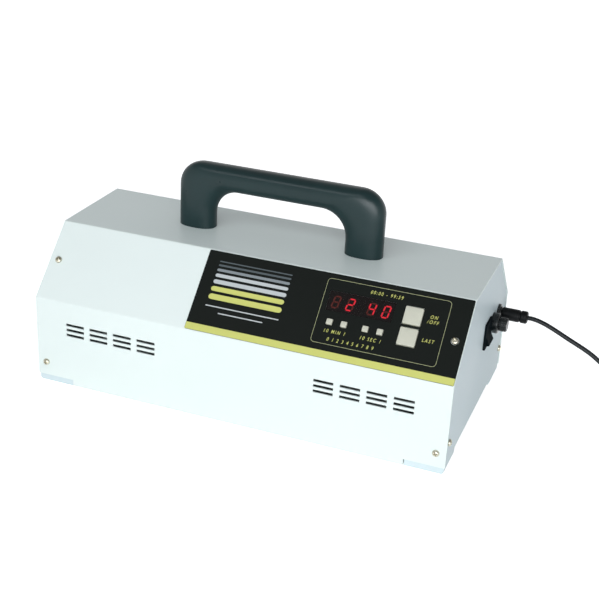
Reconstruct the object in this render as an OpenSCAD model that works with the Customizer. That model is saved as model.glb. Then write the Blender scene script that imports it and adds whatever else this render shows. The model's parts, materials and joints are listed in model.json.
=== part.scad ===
// Benchtop ultraviolet light box that exposes boards and screens through the window in its underside.
// Millimetres, +Z up, X along the housing, controls on the -Y slope, inlets on the +X end.
// The origin lies on the table, below the middle of the whole object without its cord.

/* [Housing] */
// Room between a lamp's end face and the cover's edge
end_room = 31; // [31:0.5:60]
// Depth of the cover, front wall to rear wall
house_d = 188; // [180:1:230]
// Height of the flat top above the table
house_h = 125; // [118:1:150]
// Height of the upright front and rear walls
wall_h = 75.3; // [70:0.1:84]
// Depth of the flat top between the two slopes
top_d = 90; // [70:1:110]
// Thickness of the steel sheet
sheet_t = 1.2; // [1:0.1:1.6]
// Outer radius of the sheet's bends
bend_r = 2.4; // [2:0.1:4]
// Width of the cover's turned-in lower edge
hem_w = 10; // [6:1:14]
// Height of the cover's lower edge above the table
skirt_gap = 0.8; // [0.5:0.1:2]

/* [End panels] */
// Distance that each end panel sits inside the cover's edge
end_inset = 0.8; // [0.4:0.1:2]
// Width of the end panels' flange behind the cover
flange_w = 15; // [12:0.5:15]
// Length of each foot along the housing
foot_w = 31.2; // [24:0.2:40]
// Height of each foot's wide flange
foot_h = 12; // [8:1:13]
// Depth of the gap between the feet of one end
foot_gap = 122; // [100:1:130]
// Height of the gap between the feet of one end
end_slot_h = 6; // [5:0.5:8]
// Height of the notch in the cover over each foot
notch_h = 5.9; // [4:0.1:8]
// Gap between a foot and the notch's edge
notch_gap = 0.5; // [0.3:0.1:1.5]

/* [Vents] */
// Slots in one row of a vent group
vent_cols = 4; // [2:1:5]
// Rows in a vent group
vent_rows = 3; // [2:1:4]
// Length of a slot
vent_l = 16.2; // [10:0.1:18]
// Height of a slot
vent_t = 2.4; // [1:0.1:2.5]
// Distance from slot to slot along the wall
vent_pitch_x = 21.3; // [20:0.1:24]
// Distance from row to row
vent_pitch_z = 4.55; // [3.5:0.05:6]
// Distance from the cover's end to the middle of a vent group
vent_from_end = 67.8; // [60:0.1:80]
// Height of the middle row
vent_z = 51.4; // [48:0.1:56]

/* [Handle] */
// Length of the handle over its legs
handle_l = 177; // [160:1:200]
// Height of the handle above the flat top
handle_h = 55.3; // [50:0.1:65]
// Width of a leg along the housing
leg_w = 31.5; // [26:0.5:36]
// Depth of a leg
leg_d = 20; // [16:0.5:26]
// Thickness of the grip, top to underside
grip_t = 21; // [18:0.1:25]
// Depth of the grip
grip_d = 22; // [18:0.5:26]
// Outer radius of the handle's bend
bow_r = 20; // [14:0.5:30]
// Inner radius of the handle's bend
bow_in_r = 22; // [10:0.5:26]
// Roundness of the section: 2 is an ellipse, more is squarer
section_power = 2.4; // [2:0.1:5]
// Place of the handle's middle from the housing's middle
handle_x = -1; // [-5:0.5:5]
// Depth of the threaded inserts in the legs
insert_l = 12; // [8:1:16]

/* [Controls] */
// Length of the printed overlay
overlay_w = 216; // [200:1:230]
// Gap between the overlay and the cover's right edge
overlay_gap = 0.5; // [0.2:0.1:3]
// Distance from the overlay to the bend above and below it
overlay_in = 0.85; // [0.5:0.05:3]
// Thickness of the overlay
overlay_t = 0.5; // [0.3:0.1:1]
// Distance from the overlay's right edge to the timer's middle
timer_in = 65.6; // [62:0.1:80]
// Distance of the timer's middle above the slope's middle
timer_up = 3.25; // [1:0.05:5]
// Place of the displays from the timer's middle, along the slope's edge
show_x = -18.4; // [-20:0.1:-17]
// Height of the displays from the timer's middle
show_s = 8.9; // [8:0.1:10]
// Distance between the middles of the two displays
show_pitch = 28.5; // [26:0.1:30]
// Distance between the digits of one display
digit_pitch = 11.5; // [11:0.1:12.5]
// Height of a digit
digit_h = 10.6; // [9:0.1:11]
// Width of a digit
digit_w = 6; // [5:0.1:7]
// Width of a digit's bars
bar_w = 1.3; // [0.8:0.1:1.4]
// Lean of the digits
digit_lean = 8; // [0:1:12]
// Side of a small button
key_w = 4.6; // [4.2:0.1:5.8]
// Height of the small buttons from the timer's middle
key_s = -8.4; // [-9:0.1:-7]
// Width of a large button
pad_w = 14; // [12:0.1:16]
// Height of a large button
pad_h = 15; // [13:0.1:15.6]
// Distance between the large buttons' middles
pad_pitch = 17; // [16.8:0.1:18]
// Place of the large buttons from the timer's middle
pad_x = 22.9; // [21:0.1:26]
// Height of the pair of large buttons from the timer's middle
pad_s = 0.8; // [0:0.1:2]
// Height of the buttons above the overlay
key_rise = 1.5; // [1.2:0.1:2.5]
// Travel of the buttons
key_travel = 0.8; // [0.4:0.1:0.9]
// Gap all round a button
key_gap = 0.3; // [0.2:0.05:0.5]
// Distance from the slope's outer face to the timer board
board_drop = 8.6; // [8.2:0.1:10]
// Length of the timer board
timer_board_w = 102; // [98:1:102]
// Depth of the timer board
timer_board_d = 46; // [45:1:48]

/* [Inlets] */
// Height of the fuse holder and the jack
inlet_z = 70.2; // [66:0.1:74]
// Height of the switch
switch_z = 69.4; // [66:0.1:74]
// Place of the switch across the right end
switch_y = 17.8; // [14:0.1:18]
// Depth of the switch's bezel
bezel_w = 20; // [18:0.1:21]
// Height of the switch's bezel
bezel_h = 23; // [22.4:0.1:26]
// Place of the fuse holder across the right end
fuse_y = 38.5; // [38:0.1:40]
// Diameter of the fuse cap
fuse_cap_d = 11.8; // [11:0.1:14]
// Reach of the fuse cap from the end panel
fuse_reach = 12.8; // [11:0.1:16]
// Place of the power jack across the right end
jack_y = 60; // [58:0.1:64]
// Diameter of the flanges of the fuse holder and the jack
jack_d = 14.4; // [14:0.1:16.5]
// Diameter of the plug's grip
plug_d = 10.6; // [9:0.1:12]
// Length of the plug's grip
plug_l = 21.6; // [18:0.1:30]
// Diameter of the plug's sleeve
sleeve_d = 5.5; // [5:0.1:6]
// Length of the plug's sleeve
sleeve_l = 9.5; // [8:0.1:10]

/* [Lamps and window] */
// Length of a lamp between its end faces
lamp_l = 288; // [270:0.5:360]
// Diameter of a lamp
lamp_d = 16; // [14:0.5:17]
// Height of the lamps' middle
lamp_z = 28; // [27:0.1:31]
// Distance from a lamp's end face back to the window's edge
window_in = 9; // [6:0.5:20]
// Distance from the cover's wall to the window's edge
window_side = 27; // [26:0.5:34]
// Rim of the glass that rests on the frame
glass_rim = 5; // [3:0.5:6]
// Thickness of the glass
glass_t = 3; // [2:0.5:4]
// Height of the reflector's flat top
reflector_z = 45; // [43:0.5:46]

/* [Boards] */
// Thickness of the circuit boards
board_t = 1.6; // [1:0.1:2]
// Length of the ballast board
ballast_w = 180; // [170:1:200]
// Depth of the ballast board
ballast_d = 64; // [60:1:70]
// Height of the ballast board above the reflector
ballast_rise = 6; // [4:0.5:8]

/* [Supply cord] */
// Diameter of the supply cord
cord_d = 3.8; // [3:0.1:4]
// Middle radius of the coil's outer turns
coil_r = 26; // [25.5:0.1:26]
// Distance from turn to turn
coil_pitch = 5; // [4.8:0.1:5.2]
// Distance from layer to layer
coil_rise = 4.5; // [4.4:0.1:4.8]
// Length of the adapter's case
adapter_l = 70; // [60:1:90]
// Width of the adapter's case
adapter_w = 46; // [40:1:48]
// Thickness of the adapter's case
adapter_t = 31; // [30:0.5:40]

/* [Hidden] */
$fn = 40;
house_w = lamp_l + 2 * end_room;
slope_run = (house_d - top_d) / 2;
slope_rise = house_h - wall_h;
slope_a = atan2(slope_rise, slope_run);
slope_l = norm([slope_run, slope_rise]);
end_x = house_w / 2 - end_inset;
front_y = -house_d / 2;

// Fasteners
pan_d = 3;
pan_head_d = 5.6;
pan_head_h = 2.4;
pan_l = 8;
m3_d = 3;
m3_head_d = 5.6;
m3_head_h = 1.8;
m3_l = 5;
m5_d = 5;
m5_head_d = 9;
m5_head_h = 3;
m5_l = 10;
tap_gap = 0.05;
pass_gap = 0.3;
screw_in = 8;
wall_screw_z = 17.8;
end_screw_z = 24.5;
end_screw_in = 8;

// The part is centred on its whole length, so the housing sits a little to the left.
mid_x = (pan_head_h - fuse_reach) / 2;

// Window frame, glass and reflector
window_w = lamp_l - 2 * window_in;
window_d = house_d - 2 * window_side;
frame_z = end_slot_h + sheet_t;
frame_top = frame_z + sheet_t;
seat_gap = 0.3;
frame_x = end_x - sheet_t - seat_gap;
frame_y = house_d / 2 - 2 * sheet_t - seat_gap;
frame_flange_h = 26;
seal_t = 1;
glass_z = frame_top + seal_t;
glass_top = glass_z + glass_t;
glass_w = window_w + 2 * glass_rim;
glass_d = window_d + 2 * glass_rim;
clip_t = 0.8;
clip_w = 14;
clip_hold = 3;
clip_foot = 6;
clip_gap = 0.2;
clip_in = 35;
clip_x = [-window_w / 2 + clip_in, 0, window_w / 2 - clip_in];
reflector_t = 1;
reflector_top_y = glass_d / 2 + 2;
reflector_low_y = glass_d / 2 + clip_gap + clip_t + clip_foot + 1.5;
reflector_foot = 7;
reflector_foot_x = 0.6 * lamp_l / 2;
lamp_count = 4;
lamp_pitch = glass_d / lamp_count;
socket_t = 12.5;
socket_w = 18;
socket_gap = 0.3;
socket_h = 26;
socket_face = lamp_l / 2 + socket_gap;
bracket_x = socket_face + socket_t;
reflector_x = bracket_x - 0.3;
bracket_foot_w = 16;
bracket_foot_l = 10.2;
bracket_in = 3;
wire_hole_d = 4;
wire_hole_z = -4;
pin_l = 7;
pin_d = 2.4;
pin_pitch = 5;
cap_l = 12;
cap_t = 0.4;
glass_wall = 0.8;
tube_gap = 0.05;

// Boards and what stands on them
spacer_d = 5.5;
ballast_y = 12;
ballast_z = reflector_z + ballast_rise;
ballast_top = ballast_z + board_t;
board_edge = 4;
transformer_pitch = 38;
transformer_w = 22;
transformer_d = 18;
bobbin_w = 14;
bobbin_h = 11;
core_w = 6;
core_t = 4;
base_t = 3;
large_can = [12.5, 20];
small_can = [8, 12];
can_pitch = 16;
small_pitch = 12;
can_in = 20;
sink_w = 62;
sink_t = 3;
sink_h = 24;
fin_t = 2;
fin_l = 10;
fin_count = 11;
timer_x = house_w / 2 - overlay_gap - timer_in;
timer_s = slope_l / 2 + timer_up;
overlay_h = slope_l - 2 * overlay_in;
chip_lift = 4;
power_chip = [10, 4.5, 15];
timer_chip = [44, 13, 4];
timer_header_x = 34;
buzzer_at = [-38, -12];
buzzer_d = 12;
buzzer_h = 9.5;
display_w = 22.8;
display_d = 15;
display_drop = 1.6;
filter_w = 52;
filter_d = 16;
filter_gap = 0.2;
tact_w = 6;
tact_h = 3.6;
stem_d = 3.4;
stem_gap = 0.1;
stem_in = 0.6;
key_lip = 1;
key_lip_t = 0.8;
key_seat = 0.3;
pad_stem_h = board_drop - tact_h;

// Switch, fuse holder and jack
bezel_t = 1.8;
switch_body_w = 18;
switch_body_h = 21.6;
switch_body_l = 18;
rocker_w = 15;
rocker_h = 18;
rocker_tilt = 12;
rocker_pivot = -3;
rocker_rise = 4.4;
rocker_gap = 0.3;
pivot_d = 3;
pivot_l = 1;
pivot_gap = 0.05;
fuse_flange_d = 17;
fuse_flange_t = 6;
fuse_body_d = 12;
fuse_body_l = 30;
fuse_bore_d = 8;
fuse_stem_d = 7.8;
fuse_stem_l = 13;
fuse_d = 5;
fuse_l = 20;
nut_t = 2.5;
nut_af = 15;
jack_flange_t = 2.3;
jack_collar_d = 11;
jack_face = 3.3;
jack_body_d = 10;
jack_body_l = 16;
jack_bore_gap = 0.1;
jack_pin_d = 2;
plug_gap = 0.3;
plug_bore_d = 2.3;

// Cord route, drawn from the housing's middle: out of the plug, down to the table and into the coil
cord_r = cord_d / 2;
cord_points = [[199.4, 60, 70.2], [203, 60, 70.2], [208, 60, 69.4], [214, 60, 67.6], [220, 60, 65.2],
    [227, 60, 62], [235, 60, 58.2], [243, 60, 54.6], [251, 60, 50.8], [258, 59.8, 46.8], [265, 59, 42],
    [272, 57.4, 36.4], [280, 54.6, 29.2], [288, 51.2, 21.8], [296, 47.6, 14.8], [304, 44.4, 8.8],
    [311, 41.8, 4.8], [318, 40.4, 2.4], [325, 40, 1.9], [332, 40, 1.9]];
coil_x = 336;
coil_y = 40 + coil_r;
coil_layers = 4;
coil_turns = 2;
coil_climb = 0.5;
coil_steps = 24;
coil_sides = 6;
coil_lead = 4;
coil_tail = 0.25;
coil_top = cord_r + (coil_layers - 1) * coil_rise;
adapter_x = coil_x - coil_r - coil_pitch * coil_tail;
adapter_face = 34;
boss_l = 4;
boss_d = 8;
blade_l = 17;
blade_w = 6.3;
blade_t = 1.5;
blade_pitch = 12.7;

// Wires inside the housing
wire_d = 2.4;
header_in = 6;
tag_l = 6;
tag_z = 3;
switch_tag_l = 8;
switch_tag_z = 5;
switch_tag_y = 4.5;
tag_t = 0.8;

// Outlines and sweeps
function unit(v) = v / norm(v);
function corner_arc(a, b, c, r, n) =
    r <= 0 ? [b] :
    let (u = unit(a - b), v = unit(c - b), half = acos(u * v) / 2,
        m = b + unit(u + v) * r / sin(half),
        p = b + u * r / tan(half) - m,
        q = b + v * r / tan(half) - m,
        a0 = atan2(p.y, p.x),
        d = atan2(q.y, q.x) - a0,
        turn = d > 180 ? d - 360 : d < -180 ? d + 360 : d)
    [for (k = [0 : n]) m + r * [cos(a0 + turn * k / n), sin(a0 + turn * k / n)]];
function rounded(pts, rads, n = 5) =
    let (m = len(pts))
    [for (i = [0 : m - 1])
        for (p = corner_arc(pts[(i + m - 1) % m], pts[i], pts[(i + 1) % m], rads[i], n)) p];
function box_points(w, h, r, n = 4) =
    rounded([[-w / 2, -h / 2], [w / 2, -h / 2], [w / 2, h / 2], [-w / 2, h / 2]], [r, r, r, r], n);
function shell_points(inset, low) =
    let (y = house_d / 2 - inset,
        z = wall_h - inset * tan((90 - slope_a) / 2),
        ty = top_d / 2 - inset * tan(slope_a / 2),
        tz = house_h - inset,
        r = max(bend_r - inset, 0.2))
    rounded([[-y, low], [-y, z], [-ty, tz], [ty, tz], [y, z], [y, low]], [0, r, r, r, r, 0]);
function ring(p, t, r, n) =
    let (u = unit(cross(t, [0, 0, 1])), v = cross(u, t))
    [for (k = [0 : n - 1]) p + r * (u * cos(360 * (k + 0.5) / n) + v * sin(360 * (k + 0.5) / n))];
function tangent(path, i) =
    unit(path[min(i + 1, len(path) - 1)] - path[max(i - 1, 0)]);
function smooth_path(pts, steps) =
    let (m = len(pts) - 1)
    concat([for (i = [0 : m - 1]) for (k = [0 : steps - 1])
        let (a = pts[max(i - 1, 0)], b = pts[i], c = pts[i + 1], d = pts[min(i + 2, m)], t = k / steps)
        b + t / 2 * ((c - a) + t * ((2 * a - 5 * b + 4 * c - d) + t * (3 * b - a - 3 * c + d)))],
        [pts[m]]);

// Solid skin over a row of rings that have the same number of points
module skin(rings) {
    n = len(rings[0]);
    last = len(rings) - 1;
    sides = [for (i = [0 : last - 1]) for (k = [0 : n - 1])
        each [[i * n + k, i * n + (k + 1) % n, (i + 1) * n + (k + 1) % n],
            [i * n + k, (i + 1) * n + (k + 1) % n, (i + 1) * n + k]]];
    caps = [for (k = [1 : n - 2])
        each [[0, k + 1, k], [last * n, last * n + k, last * n + k + 1]]];
    polyhedron(points = [for (r = rings) each r], faces = concat(sides, caps));
}

module tube(path, r, n) {
    skin([for (i = [0 : len(path) - 1]) ring(path[i], tangent(path, i), r, n)]);
}

// Extrudes a Y-Z outline along X from x0 by w
module along_x(x0, w) {
    translate([x0, 0, 0]) rotate([90, 0, 90]) linear_extrude(w) children();
}

// Local X along the edge, local Y up the slope, local Z out of the slope
module on_slope() {
    translate([0, front_y, wall_h]) rotate([slope_a, 0, 0]) children();
}

// The middle of the timer on the slope's outer face
module on_timer() {
    on_slope() translate([timer_x, timer_s, 0]) children();
}

// Local Z out of the right end panel's face
module on_right(y, z = inlet_z) {
    translate([end_x, y, z]) rotate([0, 90, 0]) children();
}

module at_digits() {
    for (pair = [-1, 1], digit = [-1, 1])
        translate([show_x + pair * show_pitch / 2 + digit * digit_pitch / 2, 0, 0]) children();
}

// A block with rounded upright edges, its underside at zero
module pill(w, h, t, r) {
    linear_extrude(t) polygon(box_points(w, h, r));
}

// Screw with its seat at zero and its shank pointing down
module pan_screw(d, head_d, head_h, l) {
    slot_w = d * 0.24;
    slot_l = head_d * 0.56;
    slot_t = head_h * 0.55;
    difference() {
        union() {
            rotate_extrude() polygon(rounded(
                [[0, 0], [head_d / 2, 0], [head_d / 2, head_h], [0, head_h]], [0, 0.2, head_h * 0.7, 0], 4));
            translate([0, 0, -l]) cylinder(d = d, h = l + 0.1);
        }
        for (a = [0, 90]) rotate([0, 0, a])
            translate([-slot_l / 2, -slot_w / 2, head_h - slot_t]) cube([slot_l, slot_w, slot_t + 1]);
    }
}

// Places of the screws, each with local Z along its axis and the seat at zero
module at_wall_screws() {
    for (x = [-1, 1], y = [0, 1]) mirror([0, y, 0])
        translate([x * (house_w / 2 - screw_in), front_y, wall_screw_z]) rotate([90, 0, 0]) children();
}

module at_slope_screws() {
    for (x = [-1, 1], y = [0, 1]) mirror([0, y, 0])
        on_slope() translate([x * (house_w / 2 - screw_in), slope_l / 2, 0]) children();
}

module at_end_screws() {
    for (x = [0, 1], y = [-1, 1]) mirror([x, 0, 0])
        translate([end_x, y * (house_d / 2 - end_screw_in), end_screw_z]) rotate([0, 90, 0]) children();
}

module at_handle_legs() {
    for (x = [-1, 1]) translate([handle_x + x * (handle_l - leg_w) / 2, 0, house_h]) children();
}

module at_keys() {
    translate([0, key_s, 0]) at_digits() children();
}

module at_pads() {
    for (s = [-1, 1]) translate([pad_x, pad_s + s * pad_pitch / 2, 0]) children();
}

// Folded cover: front wall, slope, top, slope and rear wall from one sheet, open below and at the ends
module cover() {
    hem_x = house_w / 2 - end_inset - foot_w - notch_gap;
    color("white") difference() {
        union() {
            difference() {
                along_x(-house_w / 2, house_w) polygon(shell_points(0, skirt_gap));
                along_x(-house_w / 2 - 1, house_w + 2) polygon(shell_points(sheet_t, -1));
            }
            for (y = [0, 1]) mirror([0, y, 0])
                translate([-hem_x, front_y + sheet_t / 2, skirt_gap]) cube([2 * hem_x, hem_w, sheet_t]);
        }
        for (x = [0, 1]) mirror([x, 0, 0])
            translate([hem_x, -house_d / 2 - 1, -1]) cube([house_w, house_d + 2, notch_h + 1]);
        vent_slots();
        at_wall_screws() translate([0, 0, -2 * sheet_t]) cylinder(d = pan_d + pass_gap, h = 4 * sheet_t);
        at_slope_screws() translate([0, 0, -1.5 * sheet_t]) cylinder(d = pan_d + pass_gap, h = 3 * sheet_t);
        at_handle_legs() translate([0, 0, -2 * sheet_t]) cylinder(d = m5_d + pass_gap, h = 4 * sheet_t);
        on_timer() translate([0, 0, -2 * sheet_t]) control_cuts(4 * sheet_t);
    }
}

module vent_slots() {
    for (side = [-1, 1], y = [0, 1], i = [0 : vent_cols - 1], k = [0 : vent_rows - 1]) mirror([0, y, 0])
        translate([side * (house_w / 2 - vent_from_end) + (i - (vent_cols - 1) / 2) * vent_pitch_x,
            front_y + sheet_t / 2, vent_z + (k - (vent_rows - 1) / 2) * vent_pitch_z])
        cube([vent_l, 3 * sheet_t, vent_t], center = true);
}

// Openings for the display and the six buttons
module control_cuts(t) {
    translate([show_x, show_s, 0]) pill(filter_w + 2 * filter_gap, filter_d + 2 * filter_gap, t, 0.6);
    at_keys() pill(key_w + 2 * key_gap, key_w + 2 * key_gap, t, 0.8);
    at_pads() pill(pad_w + 2 * key_gap, pad_h + 2 * key_gap, t, 1);
}

// Right end panel: a tray that closes the cover, with feet turned in below
module end_tray() {
    foot_y = foot_gap / 2;
    difference() {
        union() {
            along_x(end_x - sheet_t, sheet_t) polygon(shell_points(sheet_t, 0));
            difference() {
                along_x(end_x - flange_w, flange_w) polygon(shell_points(sheet_t, 0));
                along_x(end_x - flange_w - 1, flange_w + 2) polygon(shell_points(2 * sheet_t, -1));
            }
            for (y = [0, 1]) mirror([0, y, 0]) {
                translate([end_x - foot_w, front_y + sheet_t, 0]) cube([foot_w, sheet_t, foot_h]);
                translate([end_x - foot_w, front_y + sheet_t, 0])
                    cube([foot_w, house_d / 2 - sheet_t - foot_y, sheet_t]);
            }
            translate([end_x - flange_w, -foot_y, end_slot_h]) cube([flange_w, foot_gap, sheet_t]);
        }
        translate([end_x - foot_w - 1, -foot_y, -1]) cube([foot_w + 2, foot_gap, end_slot_h + 1]);
        translate([end_x, house_d / 2, 0]) rotate([90, 0, 0]) linear_extrude(house_d) edge_cut(bend_r);
        at_wall_screws() translate([0, 0, -4 * sheet_t]) cylinder(d = pan_d + 2 * tap_gap, h = 4 * sheet_t);
        at_slope_screws() translate([0, 0, -4 * sheet_t]) cylinder(d = pan_d + 2 * tap_gap, h = 4 * sheet_t);
        at_end_screws() translate([0, 0, -2 * sheet_t]) cylinder(d = pan_d + pass_gap, h = 4 * sheet_t);
    }
}

// Corner waste outside a round of radius r, for an edge at the origin with the solid at -X, +Y
module edge_cut(r) {
    difference() {
        translate([-r, -1]) square([r + 1, r + 1]);
        translate([-r, r]) circle(r = r);
    }
}

module end_panel_left() {
    color("gainsboro") mirror([1, 0, 0]) end_tray();
}

module end_panel_right() {
    color("gainsboro") difference() {
        end_tray();
        on_right(switch_y, switch_z) translate([0, 0, -2 * sheet_t])
            pill(switch_body_h + 2 * tap_gap, switch_body_w + 2 * tap_gap, 4 * sheet_t, 0.8);
        on_right(fuse_y) translate([0, 0, -2 * sheet_t]) cylinder(d = fuse_body_d + 2 * tap_gap, h = 4 * sheet_t);
        on_right(jack_y) translate([0, 0, -2 * sheet_t]) cylinder(d = jack_body_d + 2 * tap_gap, h = 4 * sheet_t);
    }
}

module cover_screws() {
    color("silver") {
        at_wall_screws() pan_screw(pan_d, pan_head_d, pan_head_h, pan_l);
        at_slope_screws() pan_screw(pan_d, pan_head_d, pan_head_h, pan_l);
    }
}

module end_screws() {
    color("silver") at_end_screws() pan_screw(pan_d, pan_head_d, pan_head_h, pan_l);
}

// Moulded bow handle: rings from the left foot over the bend to the middle, then mirrored
function super(a, power) = [sign(cos(a)) * pow(abs(cos(a)), 2 / power),
    sign(sin(a)) * pow(abs(sin(a)), 2 / power)];
function bow_ring(outer, inner, depth, n = 28) =
    let (mid = (outer + inner) / 2, half = (outer - inner) / 2)
    [for (k = [0 : n - 1]) let (s = super(360 * k / n, section_power))
        [mid.x + half.x * s.x, depth / 2 * s.y, mid.y + half.y * s.x]];
function bow_half(steps = 8) =
    let (out_c = [-handle_l / 2 + bow_r, handle_h - bow_r],
        in_c = [-handle_l / 2 + leg_w + bow_in_r, handle_h - grip_t - bow_in_r])
    concat([[[-handle_l / 2, 0], [-handle_l / 2 + leg_w, 0], leg_d]],
        [for (i = [0 : steps]) let (a = 180 - 90 * i / steps)
            [out_c + bow_r * [cos(a), sin(a)], in_c + bow_in_r * [cos(a), sin(a)],
                leg_d + (grip_d - leg_d) * i / steps]]);
function flip_x(p) = [-p.x, p.y];

module handle() {
    half = bow_half();
    m = len(half) - 1;
    rings = concat([for (r = half) bow_ring(r[0], r[1], r[2])],
        [for (i = [0 : m]) let (r = half[m - i]) bow_ring(flip_x(r[0]), flip_x(r[1]), r[2])]);
    color("darkslategray") difference() {
        translate([handle_x, 0, house_h]) skin(rings);
        at_handle_legs() translate([0, 0, -1]) cylinder(d = m5_d + 2, h = insert_l + 1);
    }
}

module handle_inserts() {
    color("goldenrod") at_handle_legs() difference() {
        cylinder(d = m5_d + 2, h = insert_l);
        translate([0, 0, -1]) cylinder(d = m5_d + 2 * tap_gap, h = insert_l);
    }
}

// Screws up into the handle's legs, with a wide washer face under the flat top
module handle_screws() {
    washer_t = 1;
    color("silver") at_handle_legs() translate([0, 0, -sheet_t]) rotate([180, 0, 0]) {
        translate([0, 0, washer_t]) pan_screw(m5_d, m5_head_d, m5_head_h, m5_l);
        cylinder(d = m5_head_d + 5, h = washer_t);
    }
}

// Pan below the lamps, with the window opening and a flange up each end
module window_frame() {
    color("whitesmoke") difference() {
        union() {
            translate([-frame_x, -frame_y, frame_z]) cube([2 * frame_x, 2 * frame_y, sheet_t]);
            for (x = [0, 1]) mirror([x, 0, 0])
                translate([frame_x - sheet_t, -frame_y, frame_z]) cube([sheet_t, 2 * frame_y, frame_flange_h]);
        }
        translate([0, 0, frame_z - 1]) pill(window_w, window_d, sheet_t + 2, 3);
        at_end_screws() translate([0, 0, -4 * sheet_t]) cylinder(d = pan_d + 2 * tap_gap, h = 5 * sheet_t);
        at_frame_screws() translate([0, 0, -2 * sheet_t]) cylinder(d = m3_d + 2 * tap_gap, h = 4 * sheet_t);
    }
}

module window_gasket() {
    color("dimgray") difference() {
        translate([0, 0, frame_top]) pill(glass_w, glass_d, seal_t, 3);
        translate([0, 0, frame_top - 1]) pill(window_w, window_d, seal_t + 2, 3);
    }
}

module window_glass() {
    color("lightblue", 0.4) translate([0, 0, glass_z]) pill(glass_w, glass_d, glass_t, 3);
}

module at_clips() {
    for (x = clip_x, y = [0, 1]) mirror([0, y, 0]) translate([x, glass_d / 2, 0]) children();
}

// Spring clips that hold the glass down on its seal: foot, riser and finger
module glass_clips() {
    low = frame_top;
    high = glass_top;
    color("silver") at_clips() difference() {
        rotate([90, 0, 90]) translate([0, 0, -clip_w / 2]) linear_extrude(clip_w)
            polygon([[clip_gap + clip_foot + clip_t, low], [clip_gap + clip_foot + clip_t, low + clip_t],
                [clip_gap + clip_t, low + clip_t], [clip_gap + clip_t, high + clip_t],
                [-clip_hold, high + clip_t], [-clip_hold, high], [clip_gap, high], [clip_gap, low]]);
        at_clip_hole() translate([0, 0, -2 * clip_t]) cylinder(d = m3_d + pass_gap, h = 4 * clip_t);
    }
}

module at_clip_hole() {
    translate([0, clip_gap + clip_t + clip_foot / 2, frame_top + clip_t]) children();
}

// Places of the screws into the window frame: clips, reflector feet and bracket feet
module at_frame_screws() {
    at_clips() at_clip_hole() children();
    at_reflector_feet() children();
    at_bracket_feet() children();
}

module at_reflector_feet() {
    for (x = [-1, 1], y = [-1, 1])
        translate([x * reflector_foot_x, y * (reflector_low_y + reflector_foot / 2),
            frame_top + reflector_t]) children();
}

module at_bracket_feet() {
    for (x = [0, 1], y = [-1, 1]) mirror([x, 0, 0])
        translate([bracket_x + bracket_foot_l / 2 + sheet_t / 2, y * reflector_top_y / 2, frame_top + sheet_t])
        children();
}

// The reflector's bent line, seen from the end: its outer face, or its inner face one thickness inside
function reversed(v) = [for (i = [len(v) - 1 : -1 : 0]) v[i]];
function reflector_line(inset) =
    let (half = [[-reflector_low_y - reflector_foot, frame_top + reflector_t - inset],
            [-reflector_low_y + inset, frame_top + reflector_t - inset],
            [-reflector_top_y + inset, reflector_z - inset]])
    concat(half, [for (p = reversed(half)) [-p.x, p.y]]);

// Folded reflector over the lamps: two feet, two leaning walls and a flat top
module reflector() {
    color("gainsboro") difference() {
        along_x(-reflector_x, 2 * reflector_x)
            polygon(concat(reflector_line(0), reversed(reflector_line(reflector_t))));
        at_reflector_feet() translate([0, 0, -2 * reflector_t])
            cylinder(d = m3_d + pass_gap, h = 4 * reflector_t);
    }
}

module socket_bracket() {
    top_w = 2 * (reflector_top_y - bracket_in);
    low_w = 2 * (reflector_low_y - bracket_in);
    difference() {
        union() {
            along_x(bracket_x, sheet_t) polygon([[-low_w / 2, frame_top], [low_w / 2, frame_top],
                [top_w / 2, reflector_z], [-top_w / 2, reflector_z]]);
            for (y = [-1, 1]) translate([bracket_x, y * reflector_top_y / 2 - bracket_foot_w / 2, frame_top])
                cube([bracket_foot_l, bracket_foot_w, sheet_t]);
        }
        at_bracket_feet() translate([0, 0, -2 * sheet_t]) cylinder(d = m3_d + pass_gap, h = 4 * sheet_t);
        at_lamps() translate([bracket_x - 1, 0, wire_hole_z]) rotate([0, 90, 0])
            cylinder(d = wire_hole_d, h = sheet_t + 2);
    }
}

module socket_bracket_left() {
    color("gainsboro") mirror([1, 0, 0]) socket_bracket();
}

module socket_bracket_right() {
    color("gainsboro") socket_bracket();
}

module at_lamps() {
    for (i = [0 : lamp_count - 1]) translate([0, (i - (lamp_count - 1) / 2) * lamp_pitch, lamp_z]) children();
}

// Lamp holders: a block with a slot from below and a cross slot in which the pins turn
module lamp_sockets() {
    slot = pin_d + 0.8;
    at_lamps() difference() {
        translate([socket_face, 0, 1]) rotate([90, 0, 90])
            linear_extrude(socket_t) polygon(rounded([[-socket_w / 2, -socket_h / 2], [socket_w / 2, -socket_h / 2],
                [socket_w / 2, socket_h / 2], [-socket_w / 2, socket_h / 2]], [5, 5, 1, 1], 5));
        translate([socket_face - 1, -slot / 2, -socket_h]) cube([pin_l + 2.5, slot, socket_h + slot / 2]);
        translate([socket_face - 1, -pin_pitch / 2 - slot / 2, -slot / 2])
            cube([pin_l + 2.5, pin_pitch + slot, slot]);
    }
}

module sockets_left() {
    color("ivory") mirror([1, 0, 0]) lamp_sockets();
}

module sockets_right() {
    color("ivory") lamp_sockets();
}

module lamp(i) {
    color("lavender")
        translate([-lamp_l / 2 + 2, (i - (lamp_count - 1) / 2) * lamp_pitch, lamp_z]) rotate([0, 90, 0])
        difference() {
            cylinder(d = lamp_d - 2 * cap_t - 2 * tube_gap, h = lamp_l - 4);
            translate([0, 0, -1])
                cylinder(d = lamp_d - 2 * cap_t - 2 * tube_gap - 2 * glass_wall, h = lamp_l);
        }
}

module lamp_1() { lamp(0); }
module lamp_2() { lamp(1); }
module lamp_3() { lamp(2); }
module lamp_4() { lamp(3); }

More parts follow.
